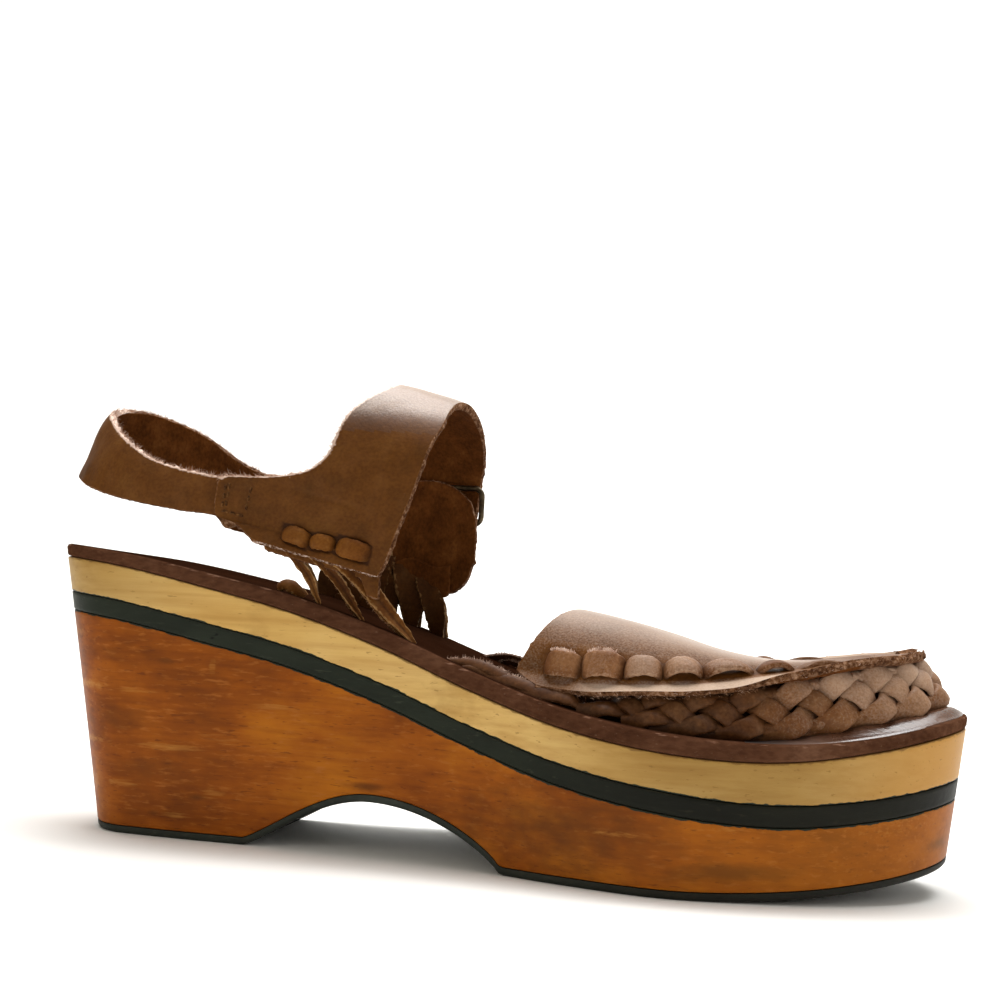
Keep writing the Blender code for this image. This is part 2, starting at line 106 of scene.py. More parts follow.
# Inner quarter and instep strap, from the panel's foot over the instep: rear edge, front edge
QUARTER_ROWS = (
    (63.3, -28.0, 80.6, 98.8, -30.0, 72.4), (57.4, -26.6, 85.2, 100.2, -30.1, 75.4),
    (51.2, -25.2, 86.9, 101.1, -30.2, 77.6), (50.8, -25.0, 87.6, 101.3, -30.2, 78.2),
    (51.3, -25.2, 96.8, 102.6, -30.2, 82.2), (52.0, -25.3, 97.5, 102.8, -30.2, 83.0),
    (66.9, -27.0, 97.8, 104.3, -30.0, 87.7), (77.5, -28.0, 99.8, 106.0, -29.0, 93.5),
    (82.2, -27.0, 104.6, 107.6, -27.5, 100.0), (84.8, -24.4, 113.3, 109.6, -24.6, 108.5),
    (87.4, -21.0, 118.5, 111.6, -20.0, 114.5), (92.0, -16.0, 123.4, 111.8, -14.0, 119.0),
    (96.0, -8.0, 127.4, 112.8, -7.0, 123.0), (98.5, 2.0, 128.2, 114.0, 3.0, 124.2),
    (99.5, 12.0, 126.4, 115.4, 13.0, 122.4), (98.2, 22.0, 120.6, 115.8, 22.0, 117.8),
    (95.6, 30.0, 112.5, 115.0, 29.6, 111.0), (93.4, 33.9, 104.0, 113.4, 33.8, 103.6),
    (92.8, 33.5, 98.0, 112.9, 33.4, 98.0), (92.6, 32.3, 93.8, 112.7, 32.3, 93.8),
)

# Outer quarter from its joint with the sling to its front edge: x, y, top, foot
OUTER_ROWS = (
    (46.0, 27.6, 104.6, 94.0), (54.0, 28.4, 104.2, 92.0), (64.0, 29.1, 103.6, 88.0),
    (76.0, 29.5, 103.4, 83.0), (86.0, 29.5, 103.6, 78.5), (94.0, 29.4, 104.2, 74.0),
    (101.0, 29.3, 104.3, 70.6), (107.5, 29.2, 101.8, 70.8), (111.5, 29.1, 98.0, 74.0),
    (113.6, 29.0, 93.2, 80.0),
)

# Sling round the heel, from the inner joint to the outer joint: upper edge, lower edge
SLING_ROWS = (
    (66.0, -24.3, 92.0, 64.0, -24.6, 79.6), (61.0, -23.9, 96.0, 60.0, -24.2, 82.2),
    (51.6, -22.6, 97.6, 51.8, -23.2, 86.9), (41.1, -21.8, 99.3, 39.8, -22.8, 88.3),
    (27.9, -18.6, 102.8, 23.9, -20.0, 90.7), (14.8, -11.6, 110.4, 7.6, -13.8, 94.9),
    (7.0, -3.6, 117.2, -0.6, -5.6, 98.4), (5.0, 3.0, 120.2, -2.6, 1.6, 100.4),
    (7.4, 12.0, 121.6, -0.2, 10.4, 102.2), (16.5, 19.2, 119.6, 10.6, 18.0, 101.8),
    (28.0, 23.2, 114.6, 24.6, 22.6, 99.6), (39.0, 24.4, 107.6, 38.0, 24.4, 95.8),
    (50.0, 25.2, 103.4, 50.0, 25.2, 93.6), (57.0, 25.6, 102.6, 57.0, 25.6, 92.4),
)

RING_CENTRE = (102.8, 30.4, 97.5)
RING_INSIDE = (21.6, 9.6)
RING_WIRE, RING_CORNER = 1.7, 2.6

# ---------------------------------------------------------------- sizes of the visible details
UPWARD = np.array((0.0, 0.0, 1.0))
WAVES = 8                             # waves summed into one unevenness
EDGE_DEPTHS = (0.1, 0.32, 0.62, 0.9)  # where a raw edge has points, as shares of the wall
EDGE_SWELL = 0.18                     # how far it swells out at mid depth, as a share of the wall
FIBRE_LEAN = 0.55                     # how far loose fibres stray from straight out
STITCH_PITCH = 2.3
EYELET_DIVE, EYELET_BULGE = 1.5, 2.0  # how deep a loop's ends go in, how far its middle stands out
BEVEL_DROP, BEVEL_RISE, BEVEL_WIDE = 0.9, 2.1, 5.6      # the footbed's sloped edge round the toe
BEVEL_START, BEVEL_END = 190.0, 226.0

# Across a cut strip: place across its width, place through its thickness, once round
STRIP_SECTION = np.array((
    (-0.47, 0.30), (-0.40, 0.44), (-0.22, 0.52), (0.0, 0.55), (0.22, 0.52), (0.40, 0.44), (0.47, 0.30),
    (0.5, 0.0), (0.47, -0.34), (0.38, -0.48), (0.0, -0.5), (-0.38, -0.48), (-0.47, -0.34), (-0.5, 0.0),
))

# The finishes of a sheet, by number, and its edges: where each lies in its grid, and the line beside it
GRAIN, FLESH, EDGE, FIBRE, PALE_FIBRE, POLISHED = range(6)
ALL = slice(None)
EDGES = {"first row": ((0, ALL), (1, ALL)), "last row": ((-1, ALL), (-2, ALL)),
         "first column": ((ALL, 0), (ALL, 1)), "last column": ((ALL, -1), (ALL, -2))}

# Worn dabs and stains on the wooden block, and on its inner side painted shade in a dark band down the heel's
# rear edge and a broad dark patch over the waist: x, z, half length, half height, slope, strength
INNER_LIGHT = (
    (9.5, 53.5, 8.0, 1.3, -0.05, 0.75), (14.5, 39.3, 11.0, 1.3, -0.03, 1.0), (33.0, 38.6, 8.0, 1.0, 0.0, 0.7),
    (16.5, 24.5, 10.0, 1.2, 0.0, 0.9), (41.0, 24.2, 12.0, 1.4, 0.0, 0.8), (17.0, 14.2, 5.0, 1.5, 0.0, 0.9),
    (19.5, 12.0, 2.2, 2.6, 0.3, 0.8), (14.5, 6.6, 3.6, 1.5, -0.2, 1.1), (29.0, 13.6, 6.0, 1.2, 0.0, 0.8),
    (44.0, 6.4, 9.0, 1.1, 0.0, 0.7), (55.0, 13.0, 6.0, 2.4, 0.0, 0.6), (72.0, 37.0, 12.0, 1.4, -0.05, 0.6),
    (54.0, 46.5, 1.2, 3.0, 0.0, 0.8), (57.0, 28.0, 9.0, 3.4, 0.0, 0.5),
    (165.0, 14.0, 14.0, 1.0, 0.05, 0.6), (190.0, 17.0, 10.0, 1.2, 0.05, 0.5),
    (228.0, 21.0, 20.0, 7.0, 0.1, 0.5),
)
INNER_DARK = (
    (40.5, 47.0, 3.0, 1.0, 0.0, 0.9), (51.5, 11.5, 2.8, 1.0, 0.0, 0.8), (39.0, 6.3, 2.2, 0.9, 0.0, 0.8),
    (27.0, 31.0, 13.0, 4.0, 0.0, 0.5), (98.0, 18.0, 6.0, 1.4, 0.0, 0.9), (150.0, 7.0, 16.0, 3.0, 0.0, 0.5),
    # the last entry on this line, a dark band down the heel's rear edge, is painted shade
    (190.0, 7.0, 18.0, 2.6, 0.05, 0.8), (241.0, 14.0, 4.0, 2.0, 0.1, 0.8), (3.0, 40.0, 11.0, 40.0, 0.0, 0.8),
    (36.0, 18.0, 18.0, 4.0, 0.0, 0.45), (22.0, 48.0, 12.0, 4.0, 0.0, 0.35),
    # painted shade: a broad dark patch over the waist
    (152.0, 13.0, 34.0, 12.0, 0.0, 0.72),
)
OUTER_DARK = (
    (140.0, 9.0, 8.0, 1.2, 0.25, 0.9), (152.0, 14.0, 8.0, 1.2, 0.45, 0.9), (163.0, 20.0, 5.0, 1.2, 0.7, 0.8),
    (30.0, 40.0, 16.0, 3.0, 0.0, 0.5), (20.0, 20.0, 12.0, 2.5, 0.0, 0.4), (206.0, 12.0, 18.0, 2.0, 0.1, 0.5),
)
OUTER_LIGHT = (
    (14.0, 46.0, 6.0, 0.8, 0.0, 0.8), (22.0, 17.0, 7.0, 0.8, 0.0, 0.9), (60.0, 14.0, 8.0, 0.9, 0.0, 0.6),
    (186.0, 9.0, 12.0, 1.0, 0.0, 0.7), (232.0, 22.0, 14.0, 5.0, 0.1, 0.5),
)
KNOT = (210.0, 3.6, 2.6)            # on the pale layer's outer side: x, half length, half height
SCRATCH = (52.0, 0.8)               # slanted scratch across the stripe: x, half width

# Lace loops along the vamp's wall: start, end, climb of the middle, height, bulge, tone, how rubbed (its face
# paled, partly as a painted highlight, most on the third loop)
LOOPS = ((143.6, 152.4, 3.5, 7.0, 2.3, 0.58, 0.15), (153.2, 163.2, 3.4, 7.1, 2.5, 0.62, 0.20),
         (164.0, 172.8, 3.4, 5.8, 2.3, 0.56, 0.48), (173.6, 182.6, 3.3, 5.1, 2.1, 0.54, 0.42),
         (183.0, 195.0, 3.2, 4.7, 1.9, 0.52, 0.36), (196.0, 204.6, 2.8, 3.6, 1.4, 0.42, 0.10))
LOOP_THICK, LOOP_DIVE = 1.5, 1.7
LOOP_POINTS = 17          # along any loop, on the vamp or on the quarters
LACE_TIP = (205.4, 217.4, 2.2)      # the lace's last end on the vamp: start, end, climb

# How far the braid's band leans inward, by x; and how high a strand lies, at every eighth of its way
BRAID_LEANS = ((112.0, 150.0, 175.0, 200.0, 225.0, 244.0), (5.0, 7.4, 5.0, 3.2, 4.6, 7.0))
OVER_UNDER = np.array((0.0, 1.0, -1.0, 1.0, 0.0, -1.0, 1.0, -1.0, 0.0))

# Strips behind the braid: start, end, width, rise, tone
WAIST_STRIPS = ((117.5, 138.5, 3.0, 1.9, 0.40), (122.0, 132.0, 2.2, 0.7, 0.30),
                (128.0, 147.0, 3.6, 1.9, 0.40), (136.0, 156.0, 4.0, 2.2, 0.36))

# Thongs' loops on the quarters: x, z, length, height, slope
INNER_LOOPS = ((75.4, 81.9, 7.6, 4.9, -0.30), (82.9, 80.5, 6.6, 4.3, -0.10), (91.7, 79.0, 9.4, 5.4, -0.22))
OUTER_LOOPS = ((84.0, 82.4, 8.0, 5.0, -0.2), (92.0, 80.0, 7.4, 4.9, -0.2), (99.8, 77.6, 7.4, 5.0, -0.2))
# Creases in the inner quarter: x, z, slope, length. Stitches: the two ends of each row, as x and z
CREASES = ((80.0, 93.0, -0.25, 9.0), (88.0, 91.0, -0.2, 8.0), (70.0, 90.0, 0.3, 7.0))
INNER_STITCHES = (((53.6, 95.8), (52.7, 88.4)), ((54.6, 96.2), (53.8, 88.6)),
                  ((61.2, 95.2), (59.6, 87.0)), ((52.7, 88.4), (59.6, 87.0)))
OUTER_STITCHES = (((50.0, 103.0), (50.0, 94.4)), ((55.6, 102.6), (55.6, 93.4)))

# Thongs from the quarters down to the footbed: solid's name, side, top x, y, z, foot x, width, tone,
# spread of the foot
THONGS = (
    ("thong_medial_1", -1, 73.8, 25.7, 78.6, 82.2, 2.3, 0.34, 0.7),
    ("thong_medial_2", -1, 80.6, 26.3, 77.6, 94.1, 2.7, 0.28, 0.7),
    ("thong_medial_3", -1, 87.6, 26.9, 76.0, 108.4, 4.2, 0.46, 0.7),
    ("thong_lateral_1", 1, 84.0, 26.6, 82.0, 88.5, 8.0, 0.10, 1.2),
    ("thong_lateral_2", 1, 92.0, 26.6, 78.6, 96.5, 8.0, 0.10, 1.4),
    ("thong_lateral_3", 1, 98.6, 26.5, 75.0, 105.0, 6.6, 0.14, 1.6),
)
LACE_ENDS = ((73.5, 85.5, 68.0), (79.5, 83.0, 75.0), (85.5, 81.0, 81.5))      # top x, z, foot x

# Colours and stretches of pattern that several finishes share
HIDE_TONES = ("#50300F", "#5E3812", "#6B441A")
# The first colour below is painted shade: multiplied in, it warms and darkens the rubber tread and the
# painted stripe toward the toe
PAINTED_TOE_SHADE, STRIPE_PAINT = "#A89070", "#262B22"
EVEN, STREAK, PORES = (1.0, 1.0, 1.0), (22.0, 1.6, 1.0), (7.0, 1.5, 1.0)


# ---------------------------------------------------------------- the shoe's curves
def hermite(start, end, leave, arrive, t):
    """From start to end along a smooth curve with a slope at each, as t goes from 0 to 1."""
    return (start * (1 + 2 * t) * (1 - t) ** 2 + leave * t * (1 - t) ** 2
            + end * t * t * (3 - 2 * t) + arrive * t * t * (t - 1))


def column(rows, index, x):
    """A column of a table, read at x along a smooth curve through its rows."""
    table = np.array(rows, float)
    xs, ys = table[:, 0], table[:, index]
    slopes = np.gradient(ys, xs)
    i = np.clip(np.searchsorted(xs, x) - 1, 0, len(xs) - 2)
    span = xs[i + 1] - xs[i]
    return hermite(ys[i], ys[i + 1], slopes[i] * span, slopes[i + 1] * span, (x - xs[i]) / span)


def flowing(rows, step):
    """The rows of a table with smooth rows put in between them, about step mm apart."""
    table = np.array(rows, float)
    jumps = np.diff(table, axis=0)
    gaps = np.sqrt(np.linalg.norm(jumps, axis=1))[:, None]
    rates = jumps / gaps
    inner = (rates[:-1] * gaps[1:] + rates[1:] * gaps[:-1]) / (gaps[1:] + gaps[:-1])
    slopes = np.vstack([rates[:1], inner, rates[-1:]])
    out = []
    for i, gap in enumerate(gaps):
        count = max(1, int(round(gap[0] ** 2 / step)))
        out += [hermite(table[i], table[i + 1], slopes[i] * gap, slopes[i + 1] * gap, t)
                for t in np.arange(count) / count]
    return np.array(out + [table[-1]])


def fade(x, start, end):
    """0 at start, 1 at end, level outside."""
    return np.clip((x - start) / (end - start), 0.0, 1.0)


def ease(x, start, end):
    """As fade, but setting off and arriving gently."""
    t = fade(x, start, end)
    return t * t * (3 - 2 * t)


def hump(x, middle, spread):
    """1 at the middle, falling off smoothly to both sides."""
    return np.exp(-((x - middle) / spread) ** 2)


def unit(vectors):
    """Vectors brought to length 1."""
    return vectors / np.maximum(np.linalg.norm(vectors, axis=-1, keepdims=True), 1e-9)


def walked(line):
    """How far along a line each of its points lies."""
    return np.concatenate([[0.0], np.cumsum(np.linalg.norm(np.diff(line, axis=0), axis=1))])


def read_at(places, reach, values):
    """Values along a line, read at distances along it; reach is how far along each value lies."""
    return np.stack([np.interp(places, reach, row) for row in values.T], -1)


def smoothed(values, times):
    """Values evened out along their first axis; the two ends stay."""
    for _ in range(times):
        values[1:-1] = 0.25 * values[:-2] + 0.5 * values[1:-1] + 0.25 * values[2:]
    return values


def unevenness(points, size, seed):
    """A smooth random height, about -1 to 1, with humps of a given size in millimetres."""
    draw = np.random.default_rng(seed)
    total = 0.0
    for _ in range(WAVES):
        way = unit(draw.normal(size=3)) * 2 * math.pi / (size * draw.uniform(0.7, 1.7))
        total = total + np.sin(points @ way + draw.uniform(0, 2 * math.pi))
    return 2 * total / WAVES


def end_round(distance, length, power):
    """Share of the full half width at a distance from an outline's rounded end."""
    t = np.clip(distance / length, 0.0, 1.0)
    return (1.0 - (1.0 - t) ** power) ** (1.0 / power)


def full_width(x, side):
    """Half width of the sole at x before its ends are rounded."""
    return np.where(np.asarray(side) < 0, column(SOLE_ROWS, 1, x), column(SOLE_ROWS, 2, x))


def half_width(x, side):
    """Half width of the wood's top at x, on the inner side (-1) or the outer side (1)."""
    return (full_width(x, side) * end_round(x, HEEL_ROUND, HEEL_POWER)
            * end_round(LENGTH - x, TOE_ROUND, TOE_POWER))


def seat(x):
    return column(SOLE_ROWS, 3, x)


def pale_foot(x):
    return seat(x) - column(SOLE_ROWS, 4, x)


def stripe_foot(x):
    return pale_foot(x) - STRIPE


def insole_top(x):
    return seat(x) + column(SOLE_ROWS, 5, x)


def tread(x):
    """Height of the outsole's underside: flat heel, arch, flat ball, toe spring."""
    rear = np.sin(0.5 * math.pi * fade(x, ARCH_START, ARCH_TOP)) ** ARCH_REAR_POWER
    front = np.sin(0.5 * math.pi * fade(x, ARCH_END, ARCH_TOP)) ** ARCH_FRONT_POWER
    spring = np.maximum(0.0, (x - SPRING_START) / (LENGTH - SPRING_START)) ** 2
    return ARCH_HEIGHT * np.where(x < ARCH_TOP, rear, front) + SPRING_HEIGHT * spring


def tread_top(x):
    return tread(x) + RUBBER


def side_point(x, side, z, inset=0.0):
    """The sole's side surface at station x and height z, moved in by an inset."""
    depth = seat(x) - z
    heel = HEEL_SLANT * depth * (1.0 - fade(x, 0.0, HEEL_SLANT_END))
    toe = TOE_SLANT * depth * fade(x, TOE_SLANT_START, LENGTH)
    inward = (1.0 - fade(x, 0.0, HEEL_ROUND)) - fade(x, LENGTH - TOE_ROUND, LENGTH)
    across = half_width(x, side) - SIDE_DRAFT * np.maximum(depth, 0.0) - inset
    return np.stack([x + heel - toe + inset * inward, side * np.maximum(across, TIP_HALF), z + 0.0 * x], -1)


# ---------------------------------------------------------------- making pieces
def skin(rings, closed=False, marks=None, tall=0):
    """One shell through rings of equal count. Closed joins the last ring to the first; else each end
    gets one face, or one for each level where the rings are a slab's, with tall points up each side."""
    rings = np.asarray(rings)
    turns, count = rings.shape[:2]
    faces = []
    for i in range(turns if closed else turns - 1):
        a, b = i * count, ((i + 1) % turns) * count
        faces += [(a + j, a + (j + 1) % count, b + (j + 1) % count, b + j) for j in range(count)]
    for start in () if closed else (0, (turns - 1) * count):
        if tall:
            wide = count // 2 - tall
            far = start + 2 * tall + wide - 1
            rungs = [[start + k, start + k + 1, far - k - 1, far - k] for k in range(tall - 1)]
            rungs[0] += range(far + 1, far + 1 + wide)
            rungs[-1][2:2] = range(start + tall, start + tall + wide)
            faces += [tuple(rung) for rung in rungs]
        else:
            faces.append(tuple(range(start, start + count)))
    return {"points": rings.reshape(-1, 3), "faces": faces, "kinds": [0] * len(faces), "marks": marks or {}}


def add_piece(name, parts, finishes, nodes=(), crease=45.0):
    """A visible piece from its shells: placed in the shoe's frame, riding on it, in its finishes."""
    points = np.concatenate([part["points"] for part in parts])
    starts = np.cumsum([0] + [len(part["points"]) for part in parts])
    faces = [tuple(int(v) + int(start) for v in face)
             for start, part in zip(starts, parts) for face in part["faces"]]
    mesh = bpy.data.meshes.new(name)
    mesh.from_pydata((points - (CENTRE_X, 0.0, 0.0)) * MM, [], faces)
    mesh.polygons.foreach_set("material_index", [kind for part in parts for kind in part["kinds"]])
    for mark in sorted({mark for part in parts for mark in part["marks"]}):
        values = [part["marks"].get(mark, np.zeros(len(part["points"]))) for part in parts]
        layer = mesh.attributes.new(mark, "FLOAT", "POINT")
        layer.data.foreach_set("value", np.concatenate(values).astype(np.float32))
    form = bmesh.new()
    form.from_mesh(mesh)
    bmesh.ops.recalc_face_normals(form, faces=form.faces)
    form.to_mesh(mesh)
    form.free()
    for finish in finishes:
        mesh.materials.append(finish)
    mesh.shade_smooth()
    mesh.set_sharp_from_angle(angle=math.radians(crease))
    piece = bpy.data.objects.new(name, mesh)
    bpy.context.scene.collection.objects.link(piece)
    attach(piece, "root")
    if nodes:
        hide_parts(*nodes)


def normals_of(face):
    """Outward directions of a sheet's grain face, a grid of points."""
    return unit(np.cross(np.gradient(face, axis=0), np.gradient(face, axis=1)))


def raised(face, lift):
    """A sheet's grain face, lifted along its own outward directions."""
    return face + normals_of(face) * lift[..., None]


def away(face, edge):
    """How far each point of a sheet lies from the point of an edge that stands in line with it."""
    return np.linalg.norm(face - edge, axis=2)


def rim_of(face):
    """A sheet's rim, once round: its places in the grid, and the ways that lead out of the sheet."""
    rows, columns = face.shape[:2]
    places = [(0, j) for j in range(columns)] + [(i, columns - 1) for i in range(1, rows)]
    places += [(rows - 1, j) for j in range(columns - 2, -1, -1)]
    places += [(i, 0) for i in range(rows - 2, 0, -1)]
    out = np.zeros((len(places), 3))
    for way, (i, j) in zip(out, places):
        if j in (0, columns - 1):
            way += unit(face[i, j] - face[i, 1 if j == 0 else columns - 2])
        if i in (0, rows - 1):
            way += unit(face[i, j] - face[1 if i == 0 else rows - 2, j])
    return places, unit(out)


def sheet(face, wall, ragged, seed, marks, kinds=(GRAIN, FLESH, EDGE)):
    """Leather with a raw, slightly ragged edge: its grain face, flesh side and edge in three kinds."""
    rows, columns = face.shape[:2]
    count = rows * columns
    places, out = rim_of(face)
    wall, ragged = (np.broadcast_to(np.asarray(v, float), (rows, columns)) for v in (wall, ragged))
    normal = normals_of(face)
    back = face - normal * (wall - 0.12 * unevenness(face, 2.5, seed + 5))[..., None]
    edge, edge_normal, edge_wall, torn = (np.array([grid[place] for place in places])
                                          for grid in (face, normal, wall, ragged))
    loops = []
    for depth in EDGE_DEPTHS:
        swell = EDGE_SWELL * math.sin(math.pi * depth) * edge_wall
        rough = torn * (unevenness(edge + depth * 3.1, 1.5, seed)
                        + 0.5 * unevenness(edge - depth * 5.3, 0.7, seed + 1))
        loops.append(edge - edge_normal * (edge_wall * depth)[:, None] + out * (swell + rough)[:, None])
    faces, kind = [], []
    for i in range(rows - 1):
        for j in range(columns - 1):
            a, b = i * columns + j, i * columns + j + 1
            c, d = b + columns, a + columns
            faces += [(a, b, c, d), (a + count, d + count, c + count, b + count)]
            kind += kinds[:2]
    around = len(places)
    rims = [[i * columns + j for i, j in places]]
    rims += [[2 * count + n * around + k for k in range(around)] for n in range(len(loops))]
    rims.append([v + count for v in rims[0]])
    for first, second in zip(rims, rims[1:]):
        for k in range(around):
            n = (k + 1) % around
            faces.append((first[k], first[n], second[n], second[k]))
    kind += [kinds[2]] * (len(faces) - len(kind))
    spread = {}
    for mark, values in marks.items():
        values = np.broadcast_to(values, (rows, columns))
        rim = np.array([values[place] for place in places])
        spread[mark] = np.concatenate([values.ravel(), 0.0 * values.ravel()] + [rim] * len(loops))
    points = np.concatenate([face.reshape(-1, 3), back.reshape(-1, 3)] + loops)
    return {"points": points, "faces": faces, "kinds": kind, "marks": spread}


def worn_edge(face, width):
    """1 along a sheet's edges, falling off over a width in millimetres."""
    along = np.linalg.norm(np.diff(face, axis=0), axis=2)
    across = np.linalg.norm(np.diff(face, axis=1), axis=2)
    down = np.vstack([np.zeros(face.shape[1]), np.cumsum(along, axis=0)])
    over = np.hstack([np.zeros((face.shape[0], 1)), np.cumsum(across, axis=1)])
    nearest = np.minimum(np.minimum(down, down[-1] - down), np.minimum(over, over[:, -1:] - over))
    return hump(nearest, 0.0, width)


def polish_up(part):
    """Puts the grain face of a sheet in the polished finish wherever its polish mark shows."""
    smooth = part["marks"]["polish"] > 0.02
    part["kinds"] = [POLISHED if kind == GRAIN and all(smooth[v] for v in face) else kind
                     for kind, face in zip(part["kinds"], part["faces"])]


def strip(path, look, wide, thick, cup=0.0, tone=0.5, ragged=0.0, seed=3, grime_and_shade=0.0, wear=1.0,
          groove=0.0, rubbed=0.0):
    """A cut leather strip along a path: look is the way its grain side faces; grime darkens it all over, as
    dirt and as painted shade, and groove down its middle, as painted shade in the groove; wear sets how pale
    its arrises are and rubbed its face, partly as painted sheen."""
    path = np.asarray(path, float)
    along = unit(np.gradient(path, axis=0))
    look = np.asarray(look, float) + 0.0 * path
    look = unit(look - along * (look * along).sum(1, keepdims=True))
    across = np.cross(along, look)
    wide, thick, cup = (np.asarray(v, float) + np.zeros(len(path)) for v in (wide, thick, cup))
    u, w = STRIP_SECTION[:, 0], STRIP_SECTION[:, 1]
    rings = (path[:, None] + across[:, None] * (wide[:, None] * u)[..., None]
             + look[:, None] * (thick[:, None] * w - cup[:, None] * (2 * u) ** 2)[..., None])
    if ragged:
        rough = ragged * unevenness(rings, 1.6, seed) * (np.abs(u) > 0.45)
        rings = rings + across[:, None] * (rough * np.sign(u))[..., None]
    marks = {"tone": (tone, 0.0), "edge": (0.0, wear * np.abs(u) * 2.0), "rubbed": (rubbed, 0.0),
             "pressed": (grime_and_shade, groove * hump(u, 0.0, 0.13))}
    marks = {mark: ((np.asarray(down, float) + np.zeros(len(path)))[:, None]
                    + np.broadcast_to(over, (len(u),))).ravel() for mark, (down, over) in marks.items()}
    return skin(rings, marks=marks)


def hop(place, count, dive, rise, power):
    """A lace's or a stitch's way out of the leather and back in: its points, and the ways it faces.
    Place gives the leather's surface and its facing at a share of the way."""
    shares = np.linspace(0.0, 1.0, count)
    here, facing = (np.array(rows) for rows in zip(*(place(t) for t in shares)))
    out = [rise * math.sin(math.pi * t) ** power - dive for t in shares]
    return here + facing * np.array(out)[:, None], facing


def fibres(edge, out, normal, per_mm, length, seed, kind, thick=0.13, wall=WALL):
    """Loose fibres standing off a raw edge: short bent tapering hairs."""
    draw = np.random.default_rng(seed)
    reach = walked(edge)
    count = int(per_mm * reach[-1])
    where = draw.uniform(0, reach[-1], count)
    tufts = 0.5 + 0.5 * np.sin(where * 1.1 + 3 * np.sin(where * 0.37 + seed))
    where = where[draw.uniform(0, 1, count) < 0.35 + 0.65 * tufts]
    base, way, flat = (read_at(where, reach, values) for values in (edge, out, normal))
    way, flat = unit(way), unit(flat)
    depth = draw.uniform(0.05, 0.85, len(where))[:, None] * wall
    base = base - flat * depth - way * 0.1
    lean = draw.normal(0, FIBRE_LEAN, (len(where), 2))
    tip_way = unit(way + np.cross(way, flat) * lean[:, :1] + flat * lean[:, 1:] * 0.6)
    size = length * draw.uniform(0.25, 1.0, len(where))[:, None] ** 1.6
    curl = unit(draw.normal(0, 1, (len(where), 3)))
    middle = base + tip_way * size * 0.55
    tip = base + tip_way * size + curl * size * 0.35
    side = unit(np.cross(tip_way, curl))
    other = np.cross(tip_way, side)
    corners = [point + (side * math.cos(turn) + other * math.sin(turn)) * thick * 0.5 * k
               for k, point in ((1.0, base), (0.7, middle)) for turn in (0.0, 2.094, 4.189)]
    points = np.stack(corners + [tip], 1).reshape(-1, 3)
    faces = []
    for s in range(0, 7 * len(where), 7):
        faces.append((s, s + 2, s + 1))
        for a, b in ((s, s + 1), (s + 1, s + 2), (s + 2, s)):
            faces += [(a, b, b + 3, a + 3), (a + 3, b + 3, s + 6)]
    return {"points": points, "faces": faces, "kinds": [kind] * len(faces), "marks": {}}


def fringe(face, which, per_mm, length, seed, kind=FIBRE, span=ALL):
    """Loose fibres along one edge of a sheet, or along a span of it."""
    rim, inner = EDGES[which]
    edge, facing = face[rim], normals_of(face)[rim]
    return fibres(edge[span], unit(edge - face[inner])[span], facing[span], per_mm, length, seed, kind)


def rim_of_strip(path, look, wide, share):
    """A strip's upper arris, at a share of its width from its middle."""
    across = np.cross(unit(np.gradient(path, axis=0)), unit(look))
    return path + across * (share * wide)[:, None]


# ---------------------------------------------------------------- finishes
def linear(code):
    """An sRGB hex colour as the linear colour that shaders take."""
    values = [int(code[i:i + 2], 16) / 255 for i in (1, 3, 5)]
    return tuple(v / 12.92 if v <= 0.04045 else ((v + 0.055) / 1.055) ** 2.4 for v in values) + (1.0,)


